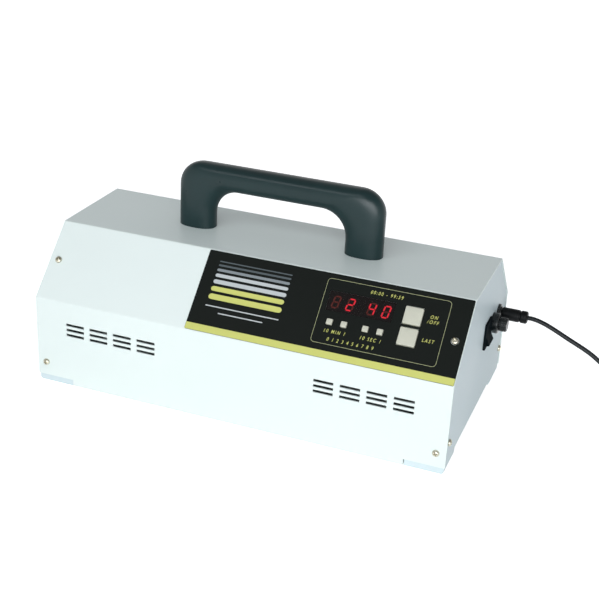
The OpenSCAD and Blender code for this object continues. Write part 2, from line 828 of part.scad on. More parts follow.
module lamp_caps() {
    color("silver") for (x = [0, 1]) mirror([x, 0, 0]) at_lamps()
        translate([lamp_l / 2, 0, 0]) rotate([0, -90, 0]) difference() {
            cylinder(d = lamp_d, h = cap_l);
            translate([0, 0, 2 - tube_gap]) cylinder(d = lamp_d - 2 * cap_t, h = cap_l);
            for (y = [-1, 1]) translate([0, y * pin_pitch / 2, -1]) cylinder(d = pin_d, h = 4);
        }
}

module lamp_pins() {
    color("goldenrod") for (x = [0, 1]) mirror([x, 0, 0]) at_lamps()
        for (y = [-1, 1]) translate([lamp_l / 2 - 2 + tube_gap, y * pin_pitch / 2, 0]) rotate([0, 90, 0])
            cylinder(d = pin_d, h = pin_l + 2 - tube_gap);
}

module at_ballast() {
    translate([0, ballast_y, ballast_z]) children();
}

module at_ballast_corners() {
    at_ballast() for (x = [-1, 1], y = [-1, 1])
        translate([x * (ballast_w / 2 - board_edge), y * (ballast_d / 2 - board_edge), 0]) children();
}

module ballast_board() {
    color("seagreen") difference() {
        at_ballast() pill(ballast_w, ballast_d, board_t, 2);
        at_ballast_corners() translate([0, 0, -1]) cylinder(d = m3_d + pass_gap, h = board_t + 2);
    }
}

// High-voltage transformers: ferrite core round a wound bobbin
module transformers() {
    color("darkgoldenrod") translate([0, ballast_y + ballast_d / 4, ballast_top])
        for (i = [-1.5 : 1 : 1.5]) translate([i * transformer_pitch, 0, 0]) {
            pill(transformer_w, transformer_d, base_t, 1);
            translate([0, 0, base_t]) pill(bobbin_w, transformer_d - 2, bobbin_h, base_t);
            translate([0, 0, base_t + bobbin_h / 2 + core_t / 2]) rotate([90, 0, 0]) difference() {
                cube([transformer_w, bobbin_h + core_t, core_w], center = true);
                translate([0, -core_t, 0]) cube([bobbin_w, bobbin_h + core_t, core_w + 2], center = true);
            }
        }
}

module capacitors() {
    color("midnightblue") translate([0, ballast_y - ballast_d / 4, ballast_top]) for (i = [0, 1]) {
        translate([-ballast_w / 2 + can_in + i * can_pitch, 0, 0]) can(large_can.x, large_can.y);
        translate([ballast_w / 2 - can_in - small_can.x - i * small_pitch, 0, 0])
            can(small_can.x, small_can.y);
    }
}

// Wound capacitor can with a crimped waist
module can(d, h) {
    rotate_extrude() polygon([[0, 0], [d / 2, 0], [d / 2, 1.4], [d / 2 - 0.5, 1.9], [d / 2, 2.4],
        [d / 2, h - 0.6], [d / 2 - 0.6, h], [0, h]]);
}

module heat_sink() {
    fin_pitch = (sink_w - fin_t) / (fin_count - 1);
    color("silver") translate([-sink_w / 2, ballast_y - ballast_d / 4 - fin_l / 2, ballast_top]) {
        translate([0, fin_l, 0]) cube([sink_w, sink_t, sink_h]);
        for (i = [0 : fin_count - 1]) translate([i * fin_pitch, 0, 0]) cube([fin_t, fin_l + 0.1, sink_h]);
    }
}

// Moulded packages: power transistors on the heat sink and the timer's controller
module chips() {
    color("dimgray") {
        translate([-sink_w / 2, ballast_y - ballast_d / 4 + fin_l / 2 + sink_t, ballast_top + chip_lift])
            for (i = [0 : 3]) translate([(i + 0.5) * sink_w / 4 - power_chip.x / 2, 0, 0]) cube(power_chip);
        on_timer() translate([-timer_chip.x / 2, -timer_chip.y, -board_drop - board_t - timer_chip.z])
            cube(timer_chip);
    }
}

module headers() {
    color("ivory") {
        for (x = [-1, 1]) translate([x * (ballast_w / 2 - header_in), ballast_y - 6, ballast_top])
            header(8, 24, 8);
        on_timer() translate([timer_header_x, 4, -board_drop - board_t]) mirror([0, 0, 1]) header(10, 20, 8);
    }
}

// Open-topped connector shroud with a solid floor
module header(w, h, t) {
    difference() {
        translate([-w / 2, -h / 2, 0]) cube([w, h, t]);
        translate([-w / 2 + 1.2, -h / 2 + 1.2, 2]) cube([w - 2.4, h - 2.4, t]);
    }
}

module at_timer_corners() {
    on_timer() for (x = [-1, 1], y = [-1, 1])
        translate([x * (timer_board_w / 2 - board_edge), y * (timer_board_d / 2 - board_edge), 0]) children();
}

module spacers() {
    color("goldenrod") {
        at_ballast_corners() translate([0, 0, -ballast_rise]) difference() {
            cylinder(d = spacer_d, h = ballast_rise);
            translate([0, 0, 0.5]) cylinder(d = m3_d + 2 * tap_gap, h = ballast_rise);
        }
        at_timer_corners() translate([0, 0, -board_drop]) difference() {
            cylinder(d = spacer_d, h = board_drop - sheet_t);
            translate([0, 0, -0.5]) cylinder(d = m3_d + 2 * tap_gap, h = m3_l);
        }
    }
}

module inner_screws() {
    color("silver") {
        at_frame_screws() pan_screw(m3_d, m3_head_d, m3_head_h, 2 * sheet_t);
        at_ballast_corners() translate([0, 0, board_t]) pan_screw(m3_d, m3_head_d, m3_head_h, m3_l);
        at_timer_corners() translate([0, 0, -board_drop - board_t]) rotate([180, 0, 0])
            pan_screw(m3_d, m3_head_d, m3_head_h, m3_l);
    }
}

module timer_board() {
    color("seagreen") difference() {
        on_timer() translate([0, 0, -board_drop - board_t]) pill(timer_board_w, timer_board_d, board_t, 2);
        at_timer_corners() translate([0, 0, -board_drop - board_t - 1])
            cylinder(d = m3_d + pass_gap, h = board_t + 2);
    }
}

module display(side) {
    color("dimgray") on_timer() translate([show_x + side * show_pitch / 2, show_s, -board_drop])
        pill(display_w, display_d, board_drop - display_drop, 0.5);
}

module display_minutes() { display(-1); }
module display_seconds() { display(1); }

// Bars of a digit: top, upper right, lower right, bottom, lower left, upper left, middle
module bar(k) {
    w = digit_w - bar_w;
    h = (digit_h - bar_w) / 2;
    gap = 0.25;
    place = [[0, h, 0], [w / 2, h / 2, 90], [w / 2, -h / 2, 90], [0, -h, 0],
        [-w / 2, -h / 2, 90], [-w / 2, h / 2, 90], [0, 0, 0]][k];
    l = place[2] == 0 ? w : h;
    multmatrix([[1, tan(digit_lean), 0, 0], [0, 1, 0, 0], [0, 0, 1, 0], [0, 0, 0, 1]])
        translate([place.x, place.y, 0]) rotate([0, 0, place[2]])
        linear_extrude(0.2) polygon([[-l / 2 + gap, 0], [-l / 2 + bar_w / 2 + gap / 2, bar_w / 2 - gap / 2],
            [l / 2 - bar_w / 2 - gap / 2, bar_w / 2 - gap / 2], [l / 2 - gap, 0],
            [l / 2 - bar_w / 2 - gap / 2, -bar_w / 2 + gap / 2],
            [-l / 2 + bar_w / 2 + gap / 2, -bar_w / 2 + gap / 2]]);
}

// Which bars each digit lights: a blank, a two, a four and a nought
lit = [[], [0, 1, 6, 4, 3], [5, 6, 1, 2], [0, 1, 2, 3, 4, 5]];

module bars(on) {
    for (d = [0 : 3]) on_timer()
        translate([show_x + (d < 2 ? -1 : 1) * show_pitch / 2 + (d % 2 - 0.5) * digit_pitch, show_s,
            -display_drop])
        for (k = [0 : 6]) if ((len(search(k, lit[d])) > 0) == on) bar(k);
}

module lit_bars() {
    color("red") bars(true);
}

module dark_bars() {
    color("maroon") bars(false);
}

module display_filter() {
    color("darkred", 0.6) on_timer() translate([show_x, show_s, -sheet_t])
        pill(filter_w, filter_d, sheet_t + overlay_t - 0.05, 0.5);
}

module control_overlay() {
    x = house_w / 2 - overlay_gap - overlay_w / 2;
    color([0.12, 0.12, 0.11]) difference() {
        on_slope() translate([x, slope_l / 2, 0]) pill(overlay_w, overlay_h, overlay_t, 1);
        on_timer() translate([0, 0, -1]) control_cuts(overlay_t + 2);
        at_slope_screws() translate([0, 0, -1]) cylinder(d = pan_head_d + 2 * pass_gap, h = overlay_t + 2);
    }
}

// Push button: crowned cap through the cover, a lip behind it and a stem into its switch
module button(w, h, lip_w, lip_h, r) {
    top = overlay_t + key_rise;
    seat = -sheet_t - key_seat;
    soft = 0.6;
    color("ghostwhite") {
        hull() {
            translate([0, 0, seat]) pill(w, h, top - soft - seat, r);
            translate([0, 0, top - 0.1]) pill(w - 2 * soft, h - 2 * soft, 0.1, r);
        }
        translate([0, 0, seat - key_lip_t]) pill(lip_w, lip_h, key_lip_t, 0.4);
        translate([0, 0, -pad_stem_h - stem_in]) cylinder(d = stem_d, h = pad_stem_h + stem_in + seat);
    }
}

module key(i) {
    pair = i < 2 ? -1 : 1;
    on_timer() translate([show_x + pair * show_pitch / 2 + (i % 2 - 0.5) * digit_pitch, key_s, 0])
        button(key_w, key_w, key_w + 2 * key_lip, key_w + 2 * key_lip, 0.5);
}

module pad(side) {
    on_timer() translate([pad_x, pad_s + side * pad_pitch / 2, 0])
        button(pad_w, pad_h, pad_w + 2 * key_lip, pad_h - key_lip, 0.9);
}

module minute_tens_button() { key(0); }
module minute_units_button() { key(1); }
module second_tens_button() { key(2); }
module second_units_button() { key(3); }
module start_button() { pad(1); }
module recall_button() { pad(-1); }

module tact_switches() {
    color("dimgray") on_timer() {
        at_keys() tact();
        at_pads() tact();
    }
}

module tact() {
    translate([0, 0, -board_drop]) difference() {
        pill(tact_w, tact_w, tact_h, 0.4);
        translate([0, 0, tact_h - stem_in - key_travel - 0.3]) cylinder(d = stem_d + 2 * stem_gap, h = tact_h);
    }
}

module buzzer() {
    color("dimgray") on_timer() translate([buzzer_at.x, buzzer_at.y, -board_drop - board_t - buzzer_h])
        difference() {
        cylinder(d = buzzer_d, h = buzzer_h);
        translate([0, 0, -1]) cylinder(d = 2, h = 4);
    }
}

// Power switch: bezel, body and a cavity for the rocker
module switch_housing() {
    cavity_h = 2 * (rocker_h / 2 + 1.4);
    color([0.1, 0.1, 0.1]) on_right(switch_y, switch_z) difference() {
        union() {
            pill(bezel_h, bezel_w, bezel_t, 1.5);
            translate([0, 0, -switch_body_l]) pill(switch_body_h, switch_body_w, switch_body_l, 0.8);
        }
        translate([0, 0, -switch_body_l / 2]) pill(cavity_h, rocker_w + 2 * rocker_gap, switch_body_l, 0.8);
        translate([0, 0, rocker_pivot]) rotate([90, 0, 0])
            cylinder(d = pivot_d + 2 * pivot_gap, h = rocker_w + 2 * rocker_gap + 2 * pivot_l, center = true);
    }
}

// Rocker at rest with its lower half out, turning on two stub pins
module rocker() {
    half = rocker_h / 2;
    color([0.14, 0.14, 0.14]) on_right(switch_y, switch_z) translate([0, 0, rocker_pivot]) rotate([0, -rocker_tilt, 0])
        rotate([90, 0, 0]) {
            translate([0, 0, -rocker_w / 2]) linear_extrude(rocker_w) polygon(rounded(
                [[-half, rocker_rise + half * tan(rocker_tilt)], [0, rocker_rise],
                    [half, rocker_rise + half * tan(rocker_tilt)], [half, 0], [half / 2, -3.4],
                    [-half / 2, -3.4], [-half, 0]], [0.6, 0, 0.6, 1, 1, 1, 1]));
            cylinder(d = pivot_d, h = rocker_w + 2 * (rocker_gap + pivot_l - pivot_gap), center = true);
        }
}

// Brass blades behind the switch, the fuse holder and the jack
module solder_tags() {
    color("goldenrod") {
        on_right(switch_y, switch_z) for (z = [-1, 1], y = [-1, 1])
            translate([z * switch_tag_z, y * switch_tag_y, -switch_body_l]) tag(4.8, switch_tag_l);
        on_right(fuse_y) for (z = [-1, 1]) translate([z * tag_z, 0, -fuse_body_l]) tag(2.8, tag_l);
        on_right(jack_y) for (z = [-1, 1]) translate([z * tag_z, 0, -jack_body_l]) tag(2.8, tag_l);
    }
}

module tag(w, l) {
    translate([-tag_t / 2, -w / 2, -l]) cube([tag_t, w, l]);
}

module fuse_holder() {
    color([0.1, 0.1, 0.1]) on_right(fuse_y) difference() {
        union() {
            rotate_extrude() polygon([[0, 0], [fuse_flange_d / 2, 0], [fuse_flange_d / 2, fuse_flange_t - 0.8],
                [fuse_flange_d / 2 - 0.8, fuse_flange_t], [0, fuse_flange_t]]);
            translate([0, 0, -fuse_body_l]) cylinder(d = fuse_body_d, h = fuse_body_l + 0.1);
        }
        translate([0, 0, -fuse_body_l + 2]) cylinder(d = fuse_bore_d, h = fuse_body_l + fuse_flange_t);
    }
}

// Glass cartridge fuse with its two metal ends
module fuse() {
    end_l = 5;
    color("silver") on_right(fuse_y) translate([0, 0, -fuse_body_l + 2]) {
        cylinder(d = fuse_d + 0.2, h = end_l);
        translate([0, 0, end_l]) cylinder(d = fuse_d, h = fuse_l - 2 * end_l);
        translate([0, 0, fuse_l - end_l]) cylinder(d = fuse_d + 0.2, h = end_l);
    }
}

// Bayonet cap with a ribbed grip
module fuse_cap() {
    ribs = 18;
    grip_l = fuse_reach - fuse_flange_t - 0.3;
    color([0.12, 0.12, 0.12]) on_right(fuse_y) translate([0, 0, fuse_flange_t + 0.3]) difference() {
        union() {
            cylinder(d = fuse_cap_d - 0.8, h = grip_l);
            for (i = [0 : ribs - 1]) rotate([0, 0, 360 * i / ribs])
                translate([fuse_cap_d / 2 - 1.2, -0.6, 0]) cube([1.2, 1.2, grip_l - 0.8]);
            translate([0, 0, -fuse_stem_l]) cylinder(d = fuse_stem_d, h = fuse_stem_l + 0.1);
        }
        translate([-4, -0.5, grip_l - 0.8]) cube([8, 1, 2]);
        translate([0, 0, -fuse_stem_l - 1]) cylinder(d = fuse_d + 0.8, h = 4.4);
    }
}

module dc_jack() {
    color([0.1, 0.1, 0.1]) on_right(jack_y) {
        difference() {
            union() {
                rotate_extrude() polygon(rounded([[0, 0], [jack_d / 2, 0], [jack_d / 2, jack_flange_t],
                    [jack_collar_d / 2, jack_flange_t], [jack_collar_d / 2, jack_face], [0, jack_face]],
                    [0, 0, 1, 0, 0.3, 0]));
                translate([0, 0, -jack_body_l]) cylinder(d = jack_body_d, h = jack_body_l + 0.1);
            }
            translate([0, 0, -sleeve_l + jack_face - 2])
                cylinder(d = sleeve_d + 2 * jack_bore_gap, h = sleeve_l + 4);
        }
        translate([0, 0, -sleeve_l + jack_face - 2.1]) cylinder(d = jack_pin_d, h = sleeve_l);
    }
}

module panel_nuts() {
    color("silver") {
        on_right(fuse_y) panel_nut(fuse_body_d);
        on_right(jack_y) panel_nut(jack_body_d);
    }
}

module panel_nut(d) {
    translate([0, 0, -sheet_t - nut_t]) difference() {
        cylinder(d = nut_af / cos(30), h = nut_t, $fn = 6);
        translate([0, 0, -1]) cylinder(d = d + 2 * tap_gap, h = nut_t + 2);
    }
}

// Barrel plug pushed into the jack: moulded grip with a waist and a grooved end
module dc_plug() {
    r = plug_d / 2;
    color([0.12, 0.12, 0.12]) on_right(jack_y) translate([0, 0, jack_face + plug_gap]) difference() {
        union() {
            rotate_extrude() polygon([[0, 0], [r - 0.8, 0], [r, 0.8], [r, plug_l - 7.2], [r - 0.7, plug_l - 6.6],
                [r - 0.7, plug_l - 5.8], [r, plug_l - 5.2], [r, plug_l - 1], [r - 1, plug_l], [0, plug_l]]);
            translate([0, 0, -sleeve_l]) cylinder(d = sleeve_d, h = sleeve_l + 0.1);
        }
        translate([0, 0, -sleeve_l - 1]) cylinder(d = plug_bore_d, h = sleeve_l + 3);
    }
}

// A route with a straight first and last stretch and smooth curves between
function eased(pts, steps) =
    let (m = len(pts) - 1)
    concat([pts[0]], smooth_path([for (i = [1 : m - 1]) pts[i]], steps), [pts[m]]);

module supply_cord() {
    color([0.12, 0.12, 0.12]) tube(eased(cord_points, 2), cord_r, 8);
}

// Neat coil: spirals in and out layer by layer and climbs in the half turn where it reverses
function coil_layer(t) = min(floor(t / (coil_turns + coil_climb)), coil_layers - 1);
function coil_spot(t) =
    let (k = coil_layer(t), s = t - k * (coil_turns + coil_climb),
        in = coil_pitch * (k == coil_layers - 1 ? s : min(s, coil_turns)),
        r = k % 2 == 0 ? coil_r - in : coil_r - coil_pitch * coil_turns + in,
        c = k == coil_layers - 1 ? 0 : max(0, s - coil_turns) / coil_climb,
        a = 360 * t - 90)
    [coil_x + r * cos(a), coil_y + r * sin(a), cord_r + coil_rise * (k + c * c * (3 - 2 * c))];
coil_total = coil_layers * coil_turns + (coil_layers - 1) * coil_climb + coil_tail;
coil_path = concat([[coil_x - coil_lead, coil_y - coil_r, cord_r]],
    [for (i = [0 : coil_total * coil_steps]) coil_spot(i / coil_steps)],
    [[adapter_x, adapter_face + boss_l + cord_d, coil_top], [adapter_x, adapter_face + boss_l, coil_top]]);

// Least gap of the coil to itself, measured between points more than a third of a turn apart
coil_gap = min([for (i = [0 : len(coil_path) - 1]) for (j = [i + 8 : 1 : len(coil_path) - 1])
    norm(coil_path[i] - coil_path[j])]) - cord_d;
echo(coil_gap = coil_gap);

module cord_coil() {
    color([0.14, 0.14, 0.14]) tube(coil_path, cord_r, coil_sides);
}

// Wall adapter lying on its front, blades up, with the cord's boss towards the coil
module adapter() {
    color([0.13, 0.13, 0.13]) difference() {
        union() {
            translate([adapter_x, adapter_face - adapter_l / 2, 0]) {
                pill(adapter_w - 2, adapter_l - 2, adapter_t, 5);
                translate([0, 0, 1.5]) pill(adapter_w, adapter_l, adapter_t - 3, 6);
            }
            translate([adapter_x, adapter_face + boss_l, coil_top]) rotate([90, 0, 0])
                cylinder(d = boss_d, h = boss_l + 3);
        }
        at_blades() translate([0, 0, -4]) cube([blade_t, blade_w, 8.1], center = true);
    }
}

module at_blades() {
    for (x = [-1, 1])
        translate([adapter_x + x * blade_pitch / 2, adapter_face - adapter_l / 2, adapter_t]) children();
}

module adapter_blades() {
    color("gold") at_blades() translate([-blade_t / 2, -blade_w / 2, -8]) cube([blade_t, blade_w, blade_l + 8]);
}

// Wires from the jack through the fuse and the switch to the ballast, and on to every lamp holder
module wiring() {
    jack = [end_x - jack_body_l - tag_l, jack_y, inlet_z];
    fuse = [end_x - fuse_body_l - tag_l, fuse_y, inlet_z];
    switch = [end_x - switch_body_l - switch_tag_l, switch_y + switch_tag_y, switch_z];
    plug_in = [ballast_w / 2 - header_in, ballast_y - 6, ballast_top + 2.5];
    color("firebrick") {
        wire([jack + [0, 0, -tag_z], jack + [-5, 0, -tag_z], jack + [-18, -6, -8],
            fuse + [-9, 10, -8], fuse + [-10, 3, -5], fuse + [-5, 0, -tag_z], fuse + [0, 0, -tag_z]]);
        wire([fuse + [0, 0, tag_z], fuse + [-4, 0, tag_z], fuse + [-8, -5, 5], fuse + [-7, -12, 7],
            switch + [-5, 1, switch_tag_z + 0.5], switch + [-3, 0, switch_tag_z], switch + [0, 0, switch_tag_z]]);
        wire([switch + [0, 0, -switch_tag_z], switch + [-5, 0, -switch_tag_z], switch + [-22, -4, -5],
            plug_in + [22, 4, 14], plug_in + [6, 0, 16], plug_in + [0.6, 0, 8], plug_in]);
        for (side = [0, 1], i = [0 : lamp_count - 1]) mirror([side, 0, 0]) let (
            y = (i - (lamp_count - 1) / 2) * lamp_pitch,
            from = plug_in + [0, (i - (lamp_count - 1) / 2) * 4 - 1, 0])
            wire([from, from + [0.6, 0, 8], from + [8, 0, 14 - i],
                [bracket_x - 14, y, reflector_z + 7], [bracket_x + 5, y, reflector_z],
                [bracket_x + 7, y, lamp_z - wire_hole_z], [bracket_x + 4, y, lamp_z + wire_hole_z],
                [bracket_x + 0.1, y, lamp_z + wire_hole_z]]);
    }
}

module wire(pts) {
    tube(eased(pts, 2), wire_d / 2, 6);
}

// Moves the housing so that the origin lies below the middle of the whole object
module placed() {
    translate([mid_x, 0, 0]) children();
}

placed() cover();
placed() end_panel_left();
placed() end_panel_right();
placed() cover_screws();
placed() end_screws();
placed() handle();
placed() handle_inserts();
placed() handle_screws();
placed() window_frame();
placed() window_gasket();
placed() window_glass();
placed() glass_clips();
placed() reflector();
placed() socket_bracket_left();
placed() socket_bracket_right();
placed() sockets_left();
placed() sockets_right();
placed() lamp_1();
placed() lamp_2();
placed() lamp_3();
placed() lamp_4();
placed() lamp_caps();
placed() lamp_pins();
placed() ballast_board();
placed() transformers();
placed() capacitors();
placed() heat_sink();
placed() chips();
placed() headers();
placed() spacers();
placed() inner_screws();
placed() timer_board();
placed() display_minutes();
placed() display_seconds();
placed() lit_bars();
placed() dark_bars();
placed() display_filter();
placed() control_overlay();
placed() minute_tens_button();
placed() minute_units_button();
placed() second_tens_button();
placed() second_units_button();
placed() start_button();
placed() recall_button();
placed() tact_switches();
placed() buzzer();
placed() switch_housing();
placed() rocker();
placed() solder_tags();
placed() fuse_holder();
placed() fuse();
placed() fuse_cap();
placed() dc_jack();
placed() panel_nuts();
placed() wiring();
placed() dc_plug();
placed() supply_cord();
placed() cord_coil();
placed() adapter();
placed() adapter_blades();
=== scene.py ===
"""Looks of a benchtop light box that exposes screens and boards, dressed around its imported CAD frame.

Size fields are in millimetres, and angle fields in degrees, where their class doesn't say otherwise.
"""
import json
import logging
import math
from dataclasses import dataclass, field
from enum import Enum

import bpy
from mathutils import Matrix, Vector

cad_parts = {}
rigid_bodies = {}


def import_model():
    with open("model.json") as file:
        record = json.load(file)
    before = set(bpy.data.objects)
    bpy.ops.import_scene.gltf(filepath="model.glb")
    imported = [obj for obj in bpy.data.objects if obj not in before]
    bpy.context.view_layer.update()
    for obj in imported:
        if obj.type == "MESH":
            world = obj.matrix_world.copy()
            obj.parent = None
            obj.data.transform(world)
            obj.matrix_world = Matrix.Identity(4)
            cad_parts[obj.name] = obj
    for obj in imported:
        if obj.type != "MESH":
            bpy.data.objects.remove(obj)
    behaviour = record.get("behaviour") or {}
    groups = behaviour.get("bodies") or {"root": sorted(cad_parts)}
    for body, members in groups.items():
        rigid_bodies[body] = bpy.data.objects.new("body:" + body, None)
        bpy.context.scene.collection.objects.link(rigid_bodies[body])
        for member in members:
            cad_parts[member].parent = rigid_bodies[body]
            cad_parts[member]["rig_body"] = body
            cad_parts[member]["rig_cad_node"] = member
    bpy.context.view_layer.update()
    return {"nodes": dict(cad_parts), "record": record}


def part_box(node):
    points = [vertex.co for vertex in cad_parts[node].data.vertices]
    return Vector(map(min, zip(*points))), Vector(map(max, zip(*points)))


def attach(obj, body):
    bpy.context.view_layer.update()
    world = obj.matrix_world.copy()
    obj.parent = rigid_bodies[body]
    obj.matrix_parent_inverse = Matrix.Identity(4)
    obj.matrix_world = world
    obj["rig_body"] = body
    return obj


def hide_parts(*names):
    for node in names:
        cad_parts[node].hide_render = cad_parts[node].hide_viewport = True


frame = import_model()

log = logging.getLogger("light_box")
MM = 0.001
NOISE_LOW, NOISE_HIGH = 0.3, 0.7
SAME_POINT = 1e-7


# Colour and node helpers
def linear(hex_colour: str, alpha: float = 1.0) -> tuple[float, float, float, float]:
    """Turn an sRGB hex colour into Blender's linear values.

    Args:
        hex_colour: Six hex digits with or without a leading hash.
        alpha: Opacity that goes with the colour.

    Returns:
        Red, green, blue and alpha, each from 0 to 1.
    """
    digits = hex_colour.lstrip("#")
    parts = [int(digits[i:i + 2], 16) / 255 for i in (0, 2, 4)]
    flat = [c / 12.92 if c <= 0.04045 else ((c + 0.055) / 1.055) ** 2.4 for c in parts]
    return (flat[0], flat[1], flat[2], alpha)


def add_node(tree: bpy.types.NodeTree, kind: str, inputs: dict[str | int, object] | None = None,
             **settings: object) -> bpy.types.Node:
    """Add a shader node with its settings, values and links.

    Args:
        tree: The node tree that gets the node.
        kind: The node's type name.
        inputs: Input name or number, to a value or to the socket that feeds it.
        settings: Attributes of the node itself.

    Returns:
        The new node.
    """
    node = tree.nodes.new(kind)
    for name, value in settings.items():
        setattr(node, name, value)
    for name, value in (inputs or {}).items():
        if isinstance(value, bpy.types.NodeSocket):
            tree.links.new(value, node.inputs[name])
        else:
            node.inputs[name].default_value = value
    return node


def per_metre(size_mm: float) -> float:
    """Give the texture scale at which one feature of the pattern has a real size.

    Args:
        size_mm: The feature's size, in millimetres.

    Returns:
        The scale for coordinates in metres.
    """
    return 1.0 / (size_mm * MM)


def spread(tree: bpy.types.NodeTree, value: bpy.types.NodeSocket, low: float,
           high: float) -> bpy.types.NodeSocket:
    """Stretch the middle of a noise over a range.

    Args:
        tree: The tree that gets the node.
        value: The noise's factor.
        low: What its darker parts give.
        high: What its paler parts give.

    Returns:
        The socket with the stretched value.
    """
    return add_node(tree, "ShaderNodeMapRange", {
        "Value": value, "From Min": NOISE_LOW, "From Max": NOISE_HIGH, "To Min": low,
        "To Max": high}).outputs["Result"]


# Finishes
@dataclass(frozen=True)
class Finish:
    """One real material: its colour, its gloss, and the size of what shows on its surface."""

    name: str
    colour: str
    roughness: float
    metallic: float = 0.0
    mottle: float = 0.04
    mottle_mm: float = 24.0
    uneven_gloss: float = 0.06
    grain_mm: float = 0.9
    grain_depth_mm: float = 0.02
    grain_strength: float = 0.6
    specular: float = 0.5
    least_roughness: float = 0.02

    def start(self) -> tuple[bpy.types.Material, bpy.types.NodeTree, bpy.types.Node, bpy.types.NodeSocket]:
        """Make an empty node material.

        Returns:
            The material, its tree, its surface shader and the object coordinates.
        """
        material = bpy.data.materials.new(self.name)
        material.use_nodes = True
        tree = material.node_tree
        tree.nodes.clear()
        shader = add_node(tree, "ShaderNodeBsdfPrincipled", {
            "Base Color": linear(self.colour), "Roughness": self.roughness,
            "Metallic": self.metallic, "Specular IOR Level": self.specular})
        add_node(tree, "ShaderNodeOutputMaterial", {"Surface": shader.outputs["BSDF"]})
        place = add_node(tree, "ShaderNodeTexCoord").outputs["Object"]
        return material, tree, shader, place

    def gloss(self, tree: bpy.types.NodeTree, value: bpy.types.NodeSocket) -> bpy.types.NodeSocket:
        """Vary the roughness with a noise.

        Args:
            tree: The material's tree.
            value: The noise's factor.

        Returns:
            The socket with the roughness.
        """
        return spread(tree, value, max(self.roughness - self.uneven_gloss, self.least_roughness),
                      min(self.roughness + self.uneven_gloss, 1.0))

    def surface(self, tree: bpy.types.NodeTree, shader: bpy.types.Node, place: bpy.types.NodeSocket) -> None:
        """Add the colour's mottle, the uneven gloss and the grain's bump.

        Args:
            tree: The material's tree.
            shader: The surface shader that they feed.
            place: The coordinates that they follow.
        """
        cloud = add_node(tree, "ShaderNodeTexNoise", {
            "Vector": place, "Scale": per_metre(self.mottle_mm), "Detail": 4.0, "Roughness": 0.55})
        shade = spread(tree, cloud.outputs["Fac"], 1.0 - self.mottle, 1.0)
        tint = add_node(tree, "ShaderNodeMix", {
            0: 1.0, 6: linear(self.colour), 7: shade}, data_type="RGBA", blend_type="MULTIPLY")
        tree.links.new(tint.outputs[2], shader.inputs["Base Color"])
        tree.links.new(self.gloss(tree, cloud.outputs["Fac"]), shader.inputs["Roughness"])
        grain = add_node(tree, "ShaderNodeTexNoise", {
            "Vector": place, "Scale": per_metre(self.grain_mm), "Detail": 2.0, "Roughness": 0.5})
        bump = add_node(tree, "ShaderNodeBump", {
            "Height": grain.outputs["Fac"], "Strength": self.grain_strength,
            "Distance": self.grain_depth_mm * MM})
        tree.links.new(bump.outputs["Normal"], shader.inputs["Normal"])

    def make(self) -> bpy.types.Material:
        """Build the whole material.

        Returns:
            The finished material.
        """
        material, tree, shader, place = self.start()
        self.surface(tree, shader, place)
        return material


@dataclass(frozen=True)
class BrushedFinish(Finish):
    """Rolled or brushed sheet, with fine lines along the housing."""

    line_mm: float = 0.5
    line_l_mm: float = 30.0
    line_strength: float = 0.4

    def make(self) -> bpy.types.Material:
        """Build the material with its lines drawn coarse enough to show.

        Returns:
            The finished material.
        """
        material, tree, shader, place = self.start()
        stretched = add_node(tree, "ShaderNodeMapping", {
            "Vector": place,
            "Scale": (per_metre(self.line_l_mm), per_metre(self.line_mm), per_metre(self.line_mm))})
        lines = add_node(tree, "ShaderNodeTexNoise", {
            "Vector": stretched.outputs["Vector"], "Scale": 1.0, "Detail": 3.0, "Roughness": 0.6})
        tree.links.new(self.gloss(tree, lines.outputs["Fac"]), shader.inputs["Roughness"])
        bump = add_node(tree, "ShaderNodeBump", {
            "Height": lines.outputs["Fac"], "Strength": self.line_strength,
            "Distance": self.grain_depth_mm * MM})
        tree.links.new(bump.outputs["Normal"], shader.inputs["Normal"])
        return material


@dataclass(frozen=True)
class GlowFinish(Finish):
    """A segment whose plastic light guide glows: by its own LED on the lit bars, as a faint painted glow on the
    unlit bars.
    """

    glow: float = 1.0
    glow_colour: str = "#FF1A24"

    def make(self) -> bpy.types.Material:
        """Build the material and give it its light.

        Returns:
            The finished material.
        """
        material, tree, shader, place = self.start()
        self.surface(tree, shader, place)
        shader.inputs["Emission Color"].default_value = linear(self.glow_colour)
        shader.inputs["Emission Strength"].default_value = self.glow
        return material


@dataclass(frozen=True)
class ClearFinish(Finish):
    """A see-through piece, shown by its opacity so that it looks the same in other viewers."""

    opacity: float = 0.3

    def make(self) -> bpy.types.Material:
        """Build the material with its opacity.

        Returns:
            The finished material.
        """
        material, tree, shader, place = self.start()
        self.surface(tree, shader, place)
        shader.inputs["Alpha"].default_value = self.opacity
        return material


def printing_ink(shade: str, colour: str) -> Finish:
    """Describe an opaque screen-printing ink.

    Args:
        shade: The shade's name.
        colour: Its colour, as sRGB hex.

    Returns:
        The ink's finish.
    """
    return Finish(f"printing_ink_{shade}", colour, 0.55, mottle=0.04, mottle_mm=12, grain_mm=0.5,
                  grain_depth_mm=0.01)


